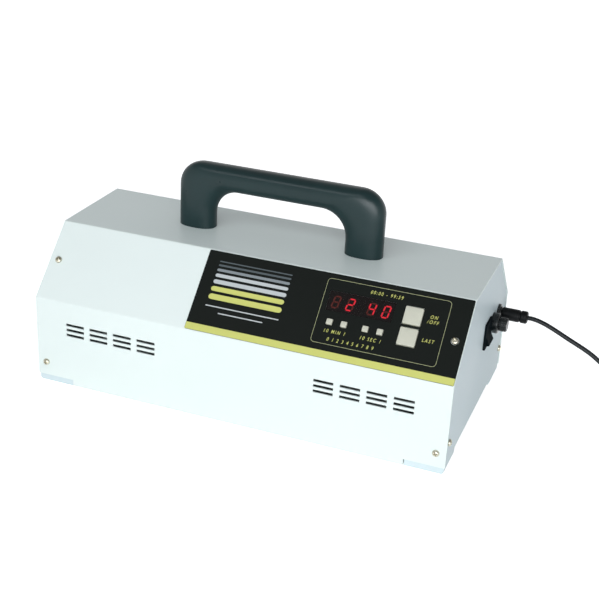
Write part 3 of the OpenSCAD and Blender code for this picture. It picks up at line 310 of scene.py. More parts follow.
class Look(Enum):
    """Every finish on the light box."""

    # Polyester powder coat on folded steel: cool white, faint orange peel, soft broad highlights
    COVER_PAINT = Finish("powder_coat_white", "#E9F2ED", 0.42, mottle=0.02, mottle_mm=60, grain_mm=1.3,
                         grain_depth_mm=0.03)
    # The same white coat on the end panels, made a shade greyer as painted shade for the weaker light on the
    # ends and their front flanges
    END_PAINT = Finish("powder_coat_white_painted_shade", "#D5E3E5", 0.44, mottle=0.03, mottle_mm=50, grain_mm=1.3,
                       grain_depth_mm=0.03)
    # Thinner coat inside the pan, seen round the window
    PAN_PAINT = Finish("powder_coat_pan", "#DDE0DF", 0.5, mottle=0.04, mottle_mm=40)
    # Moulded ABS with a fine spark-eroded texture: blue-black, satin
    HANDLE_ABS = Finish("moulded_abs_blue_black", "#162D2E", 0.32, mottle=0.12, mottle_mm=18, uneven_gloss=0.05,
                        grain_mm=0.55, grain_depth_mm=0.03, specular=0.32)
    # Screen-printed polycarbonate film: deep matte black
    OVERLAY_FILM = Finish("polycarbonate_film_black", "#131714", 0.5, mottle=0.08, mottle_mm=30, grain_mm=0.6,
                          grain_depth_mm=0.015, specular=0.1)
    # Opaque printing inks on the film
    YELLOW_INK = printing_ink("yellow", "#D0D270")
    LINE_INK = printing_ink("pale_yellow", "#CDD19C")
    PALE_INK = printing_ink("pale_grey", "#C3C8C8")
    GREY_INK = printing_ink("grey", "#858D90")
    SLATE_INK = printing_ink("slate", "#4B5558")
    # Moulded ABS key caps: warm cream, fine matte texture
    KEY_ABS = Finish("moulded_abs_cream", "#CCCBB9", 0.45, mottle=0.05, mottle_mm=6, grain_mm=0.5,
                     grain_depth_mm=0.03)
    # Nickel plate on pan-head screws
    NICKEL = Finish("nickel_plate", "#C6C2B0", 0.24, metallic=1.0, mottle=0.12, mottle_mm=3, grain_mm=0.6,
                    grain_depth_mm=0.01)
    # Blue zinc plate on inner screws, clips and nuts
    ZINC = Finish("zinc_plate", "#A9AFB6", 0.32, metallic=1.0, mottle=0.15, mottle_mm=4, grain_mm=0.7,
                  grain_depth_mm=0.01)
    # Free-machining brass
    BRASS = Finish("turned_brass", "#C9A24E", 0.28, metallic=1.0, mottle=0.1, mottle_mm=4, grain_mm=0.6,
                   grain_depth_mm=0.01)
    # Bright rolled aluminium of the reflector
    REFLECTOR = BrushedFinish("bright_rolled_aluminium", "#D9DBDC", 0.18, metallic=1.0, uneven_gloss=0.08,
                              grain_depth_mm=0.01, line_mm=0.8)
    # Zinc-plated sheet of the brackets
    BRACKET = BrushedFinish("zinc_plated_sheet", "#B4B8BA", 0.36, metallic=1.0, grain_depth_mm=0.01)
    # Satin aluminium of the lamp caps
    LAMP_CAP = Finish("satin_aluminium", "#C4C6C8", 0.38, metallic=1.0, mottle=0.08, mottle_mm=5)
    # Float glass with its faint green
    GLASS = ClearFinish("float_glass", "#DCEBE6", 0.04, mottle=0.01, uneven_gloss=0.01, grain_depth_mm=0.0,
                        opacity=0.16)
    # Glass tube lined with phosphor: milky, a little violet
    PHOSPHOR = Finish("phosphor_coated_glass", "#E9E6F2", 0.22, mottle=0.04, mottle_mm=20, grain_mm=1.0,
                      grain_depth_mm=0.005)
    # Urea lamp holders and connector shrouds
    IVORY = Finish("moulded_urea_ivory", "#E8E3D4", 0.35, mottle=0.05, mottle_mm=10)
    # Matte moulded nylon of the switch, which swallows the light even at a glance
    SWITCH_BLACK = Finish("moulded_nylon_black", "#10171A", 0.6, mottle=0.15, mottle_mm=6, grain_mm=0.5,
                          grain_depth_mm=0.03, specular=0.015)
    # Glossier phenolic of the fuse holder, its cap and the jack: its rims catch pale light
    GLOSS_BLACK = Finish("moulded_phenolic_black", "#0D1314", 0.26, mottle=0.12, mottle_mm=6, grain_mm=0.6,
                         grain_depth_mm=0.01, specular=0.42)
    # Soft vinyl of plug and cord
    PLUG_VINYL = Finish("moulded_vinyl_black", "#0C0E0F", 0.4, mottle=0.12, mottle_mm=6, grain_mm=0.6,
                        grain_depth_mm=0.03, specular=0.15)
    CORD_VINYL = Finish("cord_jacket_vinyl", "#141A1C", 0.34, mottle=0.15, mottle_mm=10, grain_mm=0.7,
                        grain_depth_mm=0.02, specular=0.25)
    # Spark-eroded ABS of the adapter's case
    ADAPTER_ABS = Finish("moulded_abs_adapter", "#151617", 0.48, mottle=0.1, mottle_mm=12, grain_mm=0.6,
                         grain_depth_mm=0.05)
    # Foam rubber seal
    SEAL = Finish("foam_rubber_seal", "#2A2B2B", 0.85, mottle=0.15, mottle_mm=3, grain_mm=0.6,
                  grain_depth_mm=0.08)
    # Glass-epoxy board under green solder mask
    BOARD = Finish("solder_mask_green", "#1F6B41", 0.3, mottle=0.18, mottle_mm=5, grain_mm=0.8)
    # Varnished copper of the transformers
    WINDING = Finish("varnished_winding", "#8C6A34", 0.4, mottle=0.25, mottle_mm=3, grain_mm=0.4,
                     grain_depth_mm=0.08)
    # Shrunk sleeve of the capacitors
    SLEEVE = Finish("shrink_sleeve_blue", "#1B2744", 0.25, mottle=0.08, mottle_mm=8)
    # Moulded epoxy of the chips
    RESIN = Finish("moulded_epoxy_black", "#1B1B1C", 0.5, mottle=0.1, mottle_mm=5)
    # Anodised fins
    HEAT_SINK = Finish("anodised_aluminium", "#AEB1B4", 0.4, metallic=1.0, mottle=0.08, mottle_mm=8)
    # Vinyl sleeve of the inner wires
    WIRE = Finish("wire_sleeve_red", "#8E1F1B", 0.42, mottle=0.1, mottle_mm=8)
    # Lit and unlit bars of the digits, the digits' case, and the smoked window before them
    LIT_BAR = GlowFinish("lit_segment_red", "#C81420", 0.4, mottle=0.02, grain_depth_mm=0.0, glow=9.7,
                         glow_colour="#FF2C3E")
    # Unlit bars: a faint painted glow, though no LED lights them
    DARK_BAR = GlowFinish("unlit_segment_red_painted_glow", "#6A2A24", 0.45, mottle=0.02, grain_depth_mm=0.0, glow=1.1,
                          glow_colour="#FF6A5A")
    DISPLAY_CASE = Finish("display_case_black", "#160E0F", 0.6, mottle=0.05)
    # Smoked acrylic, partly painted shade: its high opacity also stands for the dark inside of the housing and
    # hides the board behind the window
    RED_WINDOW = ClearFinish("smoked_red_acrylic", "#1C1716", 0.4, mottle=0.02, grain_depth_mm=0.0,
                             specular=0.1, opacity=0.72)
    # Nickel caps and wire behind the fuse's glass
    FUSE_METAL = Finish("fuse_glass_and_caps", "#C4C6C6", 0.2, metallic=0.8)

    @property
    def material(self) -> bpy.types.Material:
        """The Blender material, made at its first use.

        Returns:
            The one material of this finish.
        """
        made = bpy.data.materials.get(self.value.name)
        return made or self.value.make()


# Mesh helpers
def deselect() -> None:
    """Leave edit mode and drop the selection, which starts with every CAD node in it."""
    if bpy.context.object and bpy.context.object.mode != "OBJECT":
        bpy.ops.object.mode_set(mode="OBJECT")
    bpy.ops.object.select_all(action="DESELECT")


def pick(piece: bpy.types.Object) -> bpy.types.Object:
    """Select one object and make it active.

    Args:
        piece: The object that the next operator acts on.

    Returns:
        The same object.
    """
    deselect()
    piece.select_set(True)
    bpy.context.view_layer.objects.active = piece
    return piece


def in_edit_mode(piece: bpy.types.Object, *steps: tuple) -> None:
    """Run edit-mode operators on the whole mesh.

    Args:
        piece: The object to edit.
        steps: Pairs of an operator and its settings, in order.
    """
    pick(piece)
    bpy.ops.object.mode_set(mode="EDIT")
    for operator, settings in steps:
        bpy.ops.mesh.select_all(action="SELECT")
        operator(**settings)
    bpy.ops.object.mode_set(mode="OBJECT")


def fresh(name: str) -> bpy.types.Object:
    """Name the object that an operator has just added, and settle its place into its mesh.

    Args:
        name: The new piece's name.

    Returns:
        The piece, at the origin and unturned.
    """
    piece = bpy.context.object
    piece.name = piece.data.name = name
    bpy.ops.object.transform_apply(location=True, rotation=True, scale=True)
    return piece


def apply_modifier(piece: bpy.types.Object, kind: str, **settings: object) -> None:
    """Add a modifier with its settings and apply it.

    Args:
        piece: The object that it changes.
        kind: The modifier's type name.
        settings: Attributes of the modifier.
    """
    pick(piece)
    modifier = piece.modifiers.new(kind.title(), kind)
    for name, value in settings.items():
        setattr(modifier, name, value)
    bpy.ops.object.modifier_apply(modifier=modifier.name)


def round_edges(piece: bpy.types.Object, width_mm: float, segments: int = 2, angle: float = 35.0) -> None:
    """Round every edge that turns by more than the angle, and shade the result smooth.

    Args:
        piece: The object to round.
        width_mm: Width of the rounding.
        segments: Steps across it.
        angle: Least turn of an edge that is rounded, in degrees.
    """
    apply_modifier(piece, "BEVEL", width=width_mm * MM, segments=segments, limit_method="ANGLE",
                   angle_limit=math.radians(angle), use_clamp_overlap=True)
    smooth(piece)


def smooth(piece: bpy.types.Object, angle: float = 32.0) -> None:
    """Shade smooth where faces meet at less than the angle.

    Args:
        piece: The object to shade.
        angle: The largest such angle, in degrees.
    """
    pick(piece)
    bpy.ops.object.shade_smooth_by_angle(angle=math.radians(angle))


def join(name: str, parts: list[bpy.types.Object]) -> bpy.types.Object:
    """Join several objects into one piece.

    Args:
        name: The joined piece's name.
        parts: The objects, of which the first takes in the rest.

    Returns:
        The joined piece.
    """
    deselect()
    for part in parts:
        part.select_set(True)
    bpy.context.view_layer.objects.active = parts[0]
    if len(parts) > 1:
        bpy.ops.object.join()
    piece = bpy.context.object
    piece.name = piece.data.name = name
    return piece


def copy_at(piece: bpy.types.Object, matrix: Matrix) -> bpy.types.Object:
    """Copy a piece with its own mesh and put the place into the mesh.

    Args:
        piece: The pattern.
        matrix: The copy's place and turn.

    Returns:
        The copy.
    """
    twin = piece.copy()
    twin.data = piece.data.copy()
    bpy.context.scene.collection.objects.link(twin)
    twin.data.transform(matrix)
    return twin


def drop(piece: bpy.types.Object) -> None:
    """Remove a pattern or a cutter that isn't shown.

    Args:
        piece: The object to remove.
    """
    bpy.data.objects.remove(piece, do_unlink=True)


def carve(piece: bpy.types.Object, cutter: bpy.types.Object) -> None:
    """Cut one solid out of another and remove the cutter.

    Args:
        piece: The solid that is cut.
        cutter: The solid that is taken out of it.
    """
    apply_modifier(piece, "BOOLEAN", operation="DIFFERENCE", solver="EXACT", object=cutter)
    drop(cutter)


def arc(centre: tuple[float, float], r: float, start: float, sweep: float,
        steps: int) -> list[tuple[float, float]]:
    """Follow an arc.

    Args:
        centre: Its centre.
        r: Its radius.
        start: Where it starts, in degrees.
        sweep: How far it turns, in degrees.
        steps: Straight steps along it.

    Returns:
        Its points, with both ends.
    """
    angles = [math.radians(start + sweep * k / steps) for k in range(steps + 1)]
    return [(centre[0] + r * math.cos(a), centre[1] + r * math.sin(a)) for a in angles]


def rounded(w: float, h: float, r: float, z: float, steps: int = 6) -> list[Vector]:
    """Follow a rounded rectangle round the origin.

    Args:
        w: Its width, in millimetres.
        h: Its height.
        r: Radius of its corners.
        z: Its height above the slope.
        steps: Straight steps round each corner.

    Returns:
        Its points, in metres.
    """
    points = []
    for sx, sy, start in ((1, -1, -90), (1, 1, 0), (-1, 1, 90), (-1, -1, 180)):
        points += arc((sx * (w / 2 - r), sy * (h / 2 - r)), r, start, 90, steps)
    return [Vector((x, y, z)) * MM for x, y in points]


def loft(name: str, rings: list[list[Vector]], capped: bool = True) -> bpy.types.Object:
    """Shape a grid into a closed skin over rings of the same number of points.

    Args:
        name: The piece's name.
        rings: Points of each ring, from one end to the other.
        capped: Whether the two ends get a face.

    Returns:
        The new object, with its faces outwards.
    """
    deselect()
    around = len(rings[0])
    bpy.ops.mesh.primitive_grid_add(x_subdivisions=len(rings) - 1, y_subdivisions=around, size=1.0)
    piece = fresh(name)
    for vertex in piece.data.vertices:
        i = round((vertex.co.x + 0.5) * (len(rings) - 1))
        k = round((vertex.co.y + 0.5) * around) % around
        vertex.co = rings[i][k]
    steps = [(bpy.ops.mesh.remove_doubles, {"threshold": SAME_POINT})]
    if capped:
        steps.append((bpy.ops.mesh.fill_holes, {"sides": 0}))
    steps.append((bpy.ops.mesh.normals_make_consistent, {"inside": False}))
    in_edit_mode(piece, *steps)
    return piece


def turned(name: str, profile: list[tuple[float, float]], steps: int = 40) -> bpy.types.Object:
    """Turn a profile round Z, as on a lathe.

    Args:
        name: The piece's name.
        profile: Radius and height of each point, in millimetres, from the bottom up.
        steps: Facets round the piece.

    Returns:
        The closed solid at the origin.
    """
    rings = [[Vector((r * math.cos(a), r * math.sin(a), z)) * MM
              for a in (math.tau * k / steps for k in range(steps))]
             for r, z in profile]
    return loft(name, rings)


def block(name: str, size_mm: tuple[float, float, float],
          centre_mm: tuple[float, float, float]) -> bpy.types.Object:
    """Add a block to cut with or to round.

    Args:
        name: The block's name.
        size_mm: Its size along X, Y and Z, in millimetres.
        centre_mm: Its middle, in millimetres.

    Returns:
        The block, with its place in its mesh.
    """
    deselect()
    bpy.ops.mesh.primitive_cube_add(size=1.0, location=Vector(centre_mm) * MM, scale=Vector(size_mm) * MM)
    return fresh(name)


def softened(node: str, name: str, width_mm: float, segments: int = 2, merge: float = 2e-6,
             flat: float = 0.6) -> bpy.types.Object:
    """Copy a CAD node, merge its loose triangles and round its edges.

    Args:
        node: The CAD node.
        name: The new piece's name.
        width_mm: Width of the rounding, or 0 for smooth shading alone.
        segments: Steps across the rounding.
        merge: Points closer than this become one, in metres.
        flat: Triangles that turn by less than this become one face, in degrees.

    Returns:
        The new piece, which still has to replace the node.
    """
    piece = copy_at(frame["nodes"][node], Matrix.Identity(4))
    piece.parent = None
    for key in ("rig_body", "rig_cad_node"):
        if key in piece:
            del piece[key]
    piece.name = piece.data.name = name
    in_edit_mode(
        piece,
        (bpy.ops.mesh.remove_doubles, {"threshold": merge}),
        (bpy.ops.mesh.dissolve_limited, {"angle_limit": math.radians(flat)}),
    )
    if width_mm:
        round_edges(piece, width_mm, segments)
    else:
        smooth(piece)
    apply_modifier(piece, "WEIGHTED_NORMAL", mode="FACE_AREA", weight=50, keep_sharp=True)
    return piece


def wear(piece: bpy.types.Object, look: Look) -> None:
    """Give a piece its finish, in every material slot.

    Args:
        piece: The piece or CAD node.
        look: Its finish.
    """
    if piece.material_slots:
        for slot in piece.material_slots:
            slot.material = look.material
    else:
        piece.data.materials.append(look.material)


def show(piece: bpy.types.Object, look: Look, body: str, *nodes: str) -> bpy.types.Object:
    """Dress a new piece, let it ride on its body and stand for its CAD nodes.

    Args:
        piece: The finished piece.
        look: Its finish.
        body: The CAD body that it moves with.
        nodes: The CAD nodes that it stands for.

    Returns:
        The same piece.
    """
    wear(piece, look)
    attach(piece, body)
    if nodes:
        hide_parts(*nodes)
    log.info("%s rides on %s%s", piece.name, body, f" for {', '.join(nodes)}" if nodes else "")
    return piece


def dress(look: Look, *nodes: str) -> None:
    """Give CAD nodes whose shape is right their finish.

    Args:
        look: The finish.
        nodes: The nodes that share it.
    """
    for node in nodes:
        wear(frame["nodes"][node], look)
        log.info("%s keeps its CAD shape", node)


BODY_OF = {node: body for body, nodes in frame["record"]["behaviour"]["bodies"].items() for node in nodes}


def soften(node: str, name: str, look: Look, width_mm: float, segments: int = 2) -> bpy.types.Object:
    """Replace a CAD node by a dressed copy with rounded edges.

    Args:
        node: The CAD node.
        name: The new piece's name.
        look: Its finish.
        width_mm: Width of the rounding, or 0 for smooth shading alone.
        segments: Steps across the rounding.

    Returns:
        The new piece, which rides on the node's body.
    """
    return show(softened(node, name, width_mm, segments), look, BODY_OF[node], node)


# Places that the frame gives
@dataclass(frozen=True)
class Housing:
    """Where the folded housing is, in the row frame."""

    wall_height: float = 75.3
    top_depth: float = 90.0
    low: Vector = field(default_factory=lambda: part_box("cover")[0])
    high: Vector = field(default_factory=lambda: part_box("cover")[1])

    @property
    def middle_x(self) -> float:
        """Place of the housing's middle along its length, in metres."""
        return (self.low.x + self.high.x) / 2

    @property
    def slope(self) -> Matrix:
        """Slope space to the row frame: X along the edge, Y up the slope, Z out of it.

        Returns:
            The matrix, with its origin at the middle of the lower fold.
        """
        run = -self.low.y - self.top_depth * MM / 2
        rise = self.high.z - self.wall_height * MM
        up = Vector((0, run, rise)).normalized()
        along = Vector((1, 0, 0))
        out = along.cross(up)
        turn = Matrix((along, up, out)).transposed().to_4x4()
        return Matrix.Translation((self.middle_x, self.low.y, self.wall_height * MM)) @ turn


def box_in(node: str, space: Matrix) -> tuple[Vector, Vector]:
    """Give a CAD node's lowest and highest corner in another space, in millimetres.

    Args:
        node: The CAD node.
        space: Matrix from that space to the row frame.

    Returns:
        The two corners.
    """
    back = space.inverted()
    points = [back @ v.co for v in frame["nodes"][node].data.vertices]
    low = Vector([min(p[i] for p in points) for i in range(3)]) / MM
    high = Vector([max(p[i] for p in points) for i in range(3)]) / MM
    return low, high


# Camera, floor and light
@dataclass(frozen=True)
class SoftBox:
    """A soft rectangular lamp, in metres and watts."""

    name: str
    at: tuple[float, float, float]
    size: tuple[float, float]
    power: float
    colour: str

    def hang(self, aim: tuple[float, float, float]) -> None:
        """Hang the lamp so that it faces a point.

        Args:
            aim: The point that it faces, in metres.
        """
        deselect()
        bpy.ops.object.light_add(type="AREA", location=self.at)
        lamp = bpy.context.object
        lamp.name = self.name
        lamp.data.shape = "RECTANGLE"
        lamp.data.size, lamp.data.size_y = self.size
        lamp.data.energy = self.power
        lamp.data.color = linear(self.colour)[:3]
        lamp.rotation_euler = (Vector(self.at) - Vector(aim)).to_track_quat("Z", "Y").to_euler()
        lamp.visible_camera = False


@dataclass
class Studio:
    """A pale floor, soft light from the front, and the camera at the photograph's angle, in metres."""

    camera_at: tuple[float, float, float] = (0.31944, -0.85489, 0.49286)
    azimuth: float = 19.66
    elevation: float = 24.75
    roll: float = 2.96
    lens: float = 72.29
    sensor: float = 36.0
    clip: tuple[float, float] = (0.01, 100.0)
    floor_size: float = 14.0
    floor_drop: float = 0.0002
    floor_colour: str = "#E8E9E9"
    floor_glow: float = 0.8
    air_colour: str = "#F4F8FF"
    ambient: float = 0.36
    ceiling: float = 0.35
    ceiling_fade: tuple[float, float] = (0.22, 0.6)
    aim: tuple[float, float, float] = (0.0, 0.0, 0.07)
    lamps: tuple[SoftBox, ...] = (
        SoftBox("front_softbox", (0.81, -2.0, 0.45), (1.6, 1.0), 33.5, "#F8FBFF"),
        SoftBox("upper_softbox", (-0.42, -1.14, 1.42), (1.4, 0.35), 6.0, "#F4FAFF"),
    )

    def set_camera(self) -> None:
        """Place the camera by its azimuth, elevation and roll."""
        azimuth, elevation, roll = (math.radians(a) for a in (self.azimuth, self.elevation, self.roll))
        back = Vector((math.sin(azimuth) * math.cos(elevation), -math.cos(azimuth) * math.cos(elevation),
                       math.sin(elevation)))
        right = Vector((math.cos(azimuth), math.sin(azimuth), 0))
        up = back.cross(right)
        tilted_right = right * math.cos(roll) + up * math.sin(roll)
        tilted_up = up * math.cos(roll) - right * math.sin(roll)
        deselect()
        bpy.ops.object.camera_add()
        camera = bpy.context.object
        camera.name = "studio_camera"
        turn = Matrix((tilted_right, tilted_up, back)).transposed().to_4x4()
        camera.matrix_world = Matrix.Translation(self.camera_at) @ turn
        camera.data.lens = self.lens
        camera.data.sensor_width = self.sensor
        camera.data.clip_start, camera.data.clip_end = self.clip
        bpy.context.scene.camera = camera
        log.info("camera at azimuth %.1f, elevation %.1f", self.azimuth, self.elevation)

    def seen_directly(self, tree: bpy.types.NodeTree) -> bpy.types.NodeSocket:
        """Tell the rays that see the background as white from those that it lights.

        Args:
            tree: The tree that gets the nodes.

        Returns:
            A socket that is 1 for camera, glossy and transmission rays.
        """
        path = add_node(tree, "ShaderNodeLightPath")
        either = add_node(tree, "ShaderNodeMath", {
            0: path.outputs["Is Camera Ray"], 1: path.outputs["Is Glossy Ray"]}, operation="MAXIMUM")
        whole = add_node(tree, "ShaderNodeMath", {
            0: either.outputs[0], 1: path.outputs["Is Transmission Ray"]}, operation="MAXIMUM")
        return whole.outputs[0]

    def set_world(self) -> None:
        """Light the scene evenly and show white behind it."""
        world = bpy.data.worlds.new("studio_air")
        world.use_nodes = True
        tree = world.node_tree
        tree.nodes.clear()
        soft = add_node(tree, "ShaderNodeBackground", {
            "Color": linear(self.air_colour), "Strength": self.ambient})
        way = add_node(tree, "ShaderNodeSeparateXYZ", {
            0: add_node(tree, "ShaderNodeTexCoord").outputs["Generated"]})
        ceiling = add_node(tree, "ShaderNodeMapRange", {
            "Value": way.outputs["Z"], "From Min": self.ceiling_fade[0], "From Max": self.ceiling_fade[1],
            "To Min": 1.0, "To Max": self.ceiling}, interpolation_type="SMOOTHSTEP")
        white = add_node(tree, "ShaderNodeBackground", {
            "Color": (1, 1, 1, 1), "Strength": ceiling.outputs["Result"]})
        mix = add_node(tree, "ShaderNodeMixShader", {
            0: self.seen_directly(tree), 1: soft.outputs[0], 2: white.outputs[0]})
        add_node(tree, "ShaderNodeOutputWorld", {"Surface": mix.outputs[0]})
        bpy.context.scene.world = world
        bpy.context.scene.view_settings.view_transform = "Standard"

    def set_floor(self) -> None:
        """Lay a pale floor that keeps the object's shadow and shows white elsewhere."""
        deselect()
        bpy.ops.mesh.primitive_plane_add(size=self.floor_size, location=(0, 0, -self.floor_drop))
        floor = fresh("studio_floor")
        material = bpy.data.materials.new("matte_paper_floor")
        material.use_nodes = True
        tree = material.node_tree
        tree.nodes.clear()
        paper = add_node(tree, "ShaderNodeBsdfDiffuse", {"Color": linear(self.floor_colour)})
        lift = add_node(tree, "ShaderNodeMath", {
            0: self.seen_directly(tree), 1: self.floor_glow}, operation="MULTIPLY")
        glow = add_node(tree, "ShaderNodeEmission", {"Color": (1, 1, 1, 1), "Strength": lift.outputs[0]})
        both = add_node(tree, "ShaderNodeAddShader", {0: paper.outputs[0], 1: glow.outputs[0]})
        add_node(tree, "ShaderNodeOutputMaterial", {"Surface": both.outputs[0]})
        floor.data.materials.append(material)

    def set_up(self) -> None:
        """Build the studio."""
        self.set_camera()
        self.set_world()
        self.set_floor()
        for lamp in self.lamps:
            lamp.hang(self.aim)


# Supply cord, with what is on it
@dataclass
class SupplyCord:
    """Black cord from the barrel plug, down to the table and into a coil beside its wall adapter.

    The coil's climb between two layers and its tail are in turns.
    """

    diameter: float = 3.8
    facets: int = 4
    housing_x: float = -5.2
    route: tuple[tuple[float, float, float], ...] = (
        (199.4, 60, 70.2), (203, 60, 70.2), (208, 60, 69.4), (214, 60, 67.6), (220, 60, 65.2),
        (227, 60, 62), (235, 60, 58.2), (243, 60, 54.6), (251, 60, 50.8), (258, 59.8, 46.8),
        (265, 59, 42), (272, 57.4, 36.4), (280, 54.6, 29.2), (288, 51.2, 21.8), (296, 47.6, 14.8),
        (304, 44.4, 8.8), (311, 41.8, 4.8), (318, 40.4, 2.4), (325, 40, 1.9), (332, 40, 1.9),
    )
    route_steps: int = 4
    coil_centre: tuple[float, float] = (336, 66)
    coil_r: float = 26.0
    coil_pitch: float = 5.0
    coil_rise: float = 4.5
    coil_layers: int = 4
    coil_turns: int = 2
    coil_climb: float = 0.5
    coil_tail: float = 0.25
    coil_steps: int = 24
    adapter_entry_y: float = 34.0
    straight_in: float = 7.8
    plug_edge: float = 0.25
    case_edge: float = 0.5
    blade_edge: float = 0.25

    def eased_route(self) -> list[Vector]:
        """Ease the listed points with a smooth curve, straight at both ends.

        Returns:
            The stretch from the plug to the coil, in millimetres from the housing's middle.
        """
        points = [Vector(p) for p in self.route]
        inner = points[1:-1]
        last = len(inner) - 1
        eased = [points[0]]
        for i in range(last):
            a, b, c, d = inner[max(i - 1, 0)], inner[i], inner[i + 1], inner[min(i + 2, last)]
            for k in range(self.route_steps):
                t = k / self.route_steps
                eased.append(b + t / 2 * ((c - a) + t * ((2 * a - 5 * b + 4 * c - d)
                                                         + t * (3 * b - a - 3 * c + d))))
        return eased + [inner[-1], points[-1]]

    def coil_spot(self, t: float) -> Vector:
        """Follow the coil, in and out layer by layer, climbing where it reverses.

        Args:
            t: Turns from the coil's start.

        Returns:
            The point there, in millimetres from the housing's middle.
        """
        layer_t = self.coil_turns + self.coil_climb
        layer = min(int(t / layer_t), self.coil_layers - 1)
        s = t - layer * layer_t
        top = layer == self.coil_layers - 1
        inwards = self.coil_pitch * (s if top else min(s, self.coil_turns))
        r = self.coil_r - inwards
        if layer % 2:
            r = self.coil_r - self.coil_pitch * self.coil_turns + inwards
        c = 0 if top else max(0, s - self.coil_turns) / self.coil_climb
        a = math.tau * t - math.pi / 2
        return Vector((self.coil_centre[0] + r * math.cos(a), self.coil_centre[1] + r * math.sin(a),
                       self.diameter / 2 + self.coil_rise * (layer + c * c * (3 - 2 * c))))

    def path(self) -> list[Vector]:
        """Join the eased stretch, the coil and the way into the adapter.

        Returns:
            Every point of the cord, in metres in the row frame.
        """
        turns = self.coil_layers * self.coil_turns + (self.coil_layers - 1) * self.coil_climb + self.coil_tail
        coil = [self.coil_spot(i / self.coil_steps) for i in range(int(turns * self.coil_steps) + 1)]
        end = coil[-1]
        entry = [Vector((end.x, self.adapter_entry_y + self.straight_in, end.z)),
                 Vector((end.x, self.adapter_entry_y, end.z))]
        shift = Vector((self.housing_x, 0, 0))
        return [(p + shift) * MM for p in self.eased_route() + coil + entry]

    def build(self) -> None:
        points = self.path()
        curve = bpy.data.curves.new("supply_cord_line", "CURVE")
        curve.dimensions = "3D"
        curve.bevel_depth = self.diameter / 2 * MM
        curve.bevel_resolution = self.facets
        curve.use_fill_caps = True
        spline = curve.splines.new("POLY")
        spline.points.add(len(points) - 1)
        for spot, point in zip(spline.points, points):
            spot.co = (*point, 1.0)
        spline.use_smooth = True
        cord = bpy.data.objects.new("supply_cord_whole", curve)
        bpy.context.scene.collection.objects.link(cord)
        show(cord, Look.CORD_VINYL, "supply", "supply_cord", "cord_coil")
        plug = soften("dc_plug", "barrel_plug", Look.PLUG_VINYL, self.plug_edge)
        case = soften("adapter", "wall_adapter", Look.ADAPTER_ABS, self.case_edge, 3)
        blades = soften("adapter_blades", "wall_adapter_blades", Look.BRASS, self.blade_edge)


# Housing
@dataclass
class Casing:
    """Folded cover and the two end panels, with their sheet edges eased as the coat leaves them."""

    edge_mm: float = 0.22

    def build(self) -> None:
        """Dress the sheet-metal shells."""
        soften("cover", "folded_cover", Look.COVER_PAINT, self.edge_mm)
        for side in ("left", "right"):
            # The end trays wear the white coat darkened as painted shade
            soften(f"end_panel_{side}", f"end_tray_{side}", Look.END_PAINT, self.edge_mm)


@dataclass
class BowHandle:
    """Moulded carry handle: two legs that turn through a wide bend into the grip."""

    leg_width: float = 31.5
    leg_depth: float = 20.0
    grip_thickness: float = 21.0
    grip_depth: float = 22.0
    outer_bend: float = 20.0
    inner_bend: float = 22.0
    roundness: float = 2.4
    around: int = 48
    leg_steps: int = 3
    bend_steps: int = 14
    grip_steps: int = 6
    smooth_angle: float = 50.0

    def section(self, outer: Vector, inner: Vector, depth: float) -> list[Vector]:
        """Follow one ring of the bow, a rounded oblong.

        Args:
            outer: Point on the outer line, in the bow's plane.
            inner: Point on the inner line.
            depth: Depth across the plane.

        Returns:
            The ring's points, in millimetres.
        """
        middle, half = (outer + inner) / 2, (outer - inner) / 2
        ring = []
        for k in range(self.around):
            a = math.tau * k / self.around
            c, s = math.cos(a), math.sin(a)
            x = math.copysign(abs(c) ** (2 / self.roundness), c)
            y = math.copysign(abs(s) ** (2 / self.roundness), s)
            ring.append(Vector((middle.x + half.x * x, depth / 2 * y, middle.y + half.y * x)))
        return ring

    def half_bow(self, length: float, height: float) -> list[list[Vector]]:
        """Follow the bow from its left foot to the middle of the grip.

        Args:
            length: Length over both legs, in millimetres.
            height: Height over the flat top, in millimetres.

        Returns:
            The rings, in millimetres from the middle between the feet.
        """
        rings = []
        foot_out, foot_in = Vector((-length / 2, 0)), Vector((-length / 2 + self.leg_width, 0))
        out_c = Vector((-length / 2 + self.outer_bend, height - self.outer_bend))
        in_c = Vector((foot_in.x + self.inner_bend, height - self.grip_thickness - self.inner_bend))
        start_out, start_in = Vector((foot_out.x, out_c.y)), Vector((foot_in.x, in_c.y))
        for i in range(self.leg_steps):
            t = i / self.leg_steps
            rings.append(self.section(foot_out.lerp(start_out, t), foot_in.lerp(start_in, t), self.leg_depth))
        for i in range(self.bend_steps + 1):
            t = i / self.bend_steps
            a = math.pi - math.pi / 2 * t
            reach = Vector((math.cos(a), math.sin(a)))
            depth = self.leg_depth + (self.grip_depth - self.leg_depth) * t
            rings.append(self.section(out_c + self.outer_bend * reach, in_c + self.inner_bend * reach, depth))
        end_out, end_in = Vector((out_c.x, height)), Vector((in_c.x, height - self.grip_thickness))
        for i in range(1, self.grip_steps + 1):
            t = i / self.grip_steps
            outer, inner = (end.lerp(Vector((0, end.y)), t) for end in (end_out, end_in))
            rings.append(self.section(outer, inner, self.grip_depth))
        return rings

    def build(self) -> None:
        """Loft the handle from foot to foot."""
        low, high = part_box("handle")
        length, height = (high.x - low.x) / MM, (high.z - low.z) / MM
        half = self.half_bow(length, height)
        other = [[Vector((-p.x, p.y, p.z)) for p in ring] for ring in reversed(half[:-1])]
        base = Vector(((low.x + high.x) / 2, 0, low.z))
        piece = loft("bow_handle", [[base + p * MM for p in ring] for ring in half + other])
        smooth(piece, self.smooth_angle)
        show(piece, Look.HANDLE_ABS, "housing", "handle")


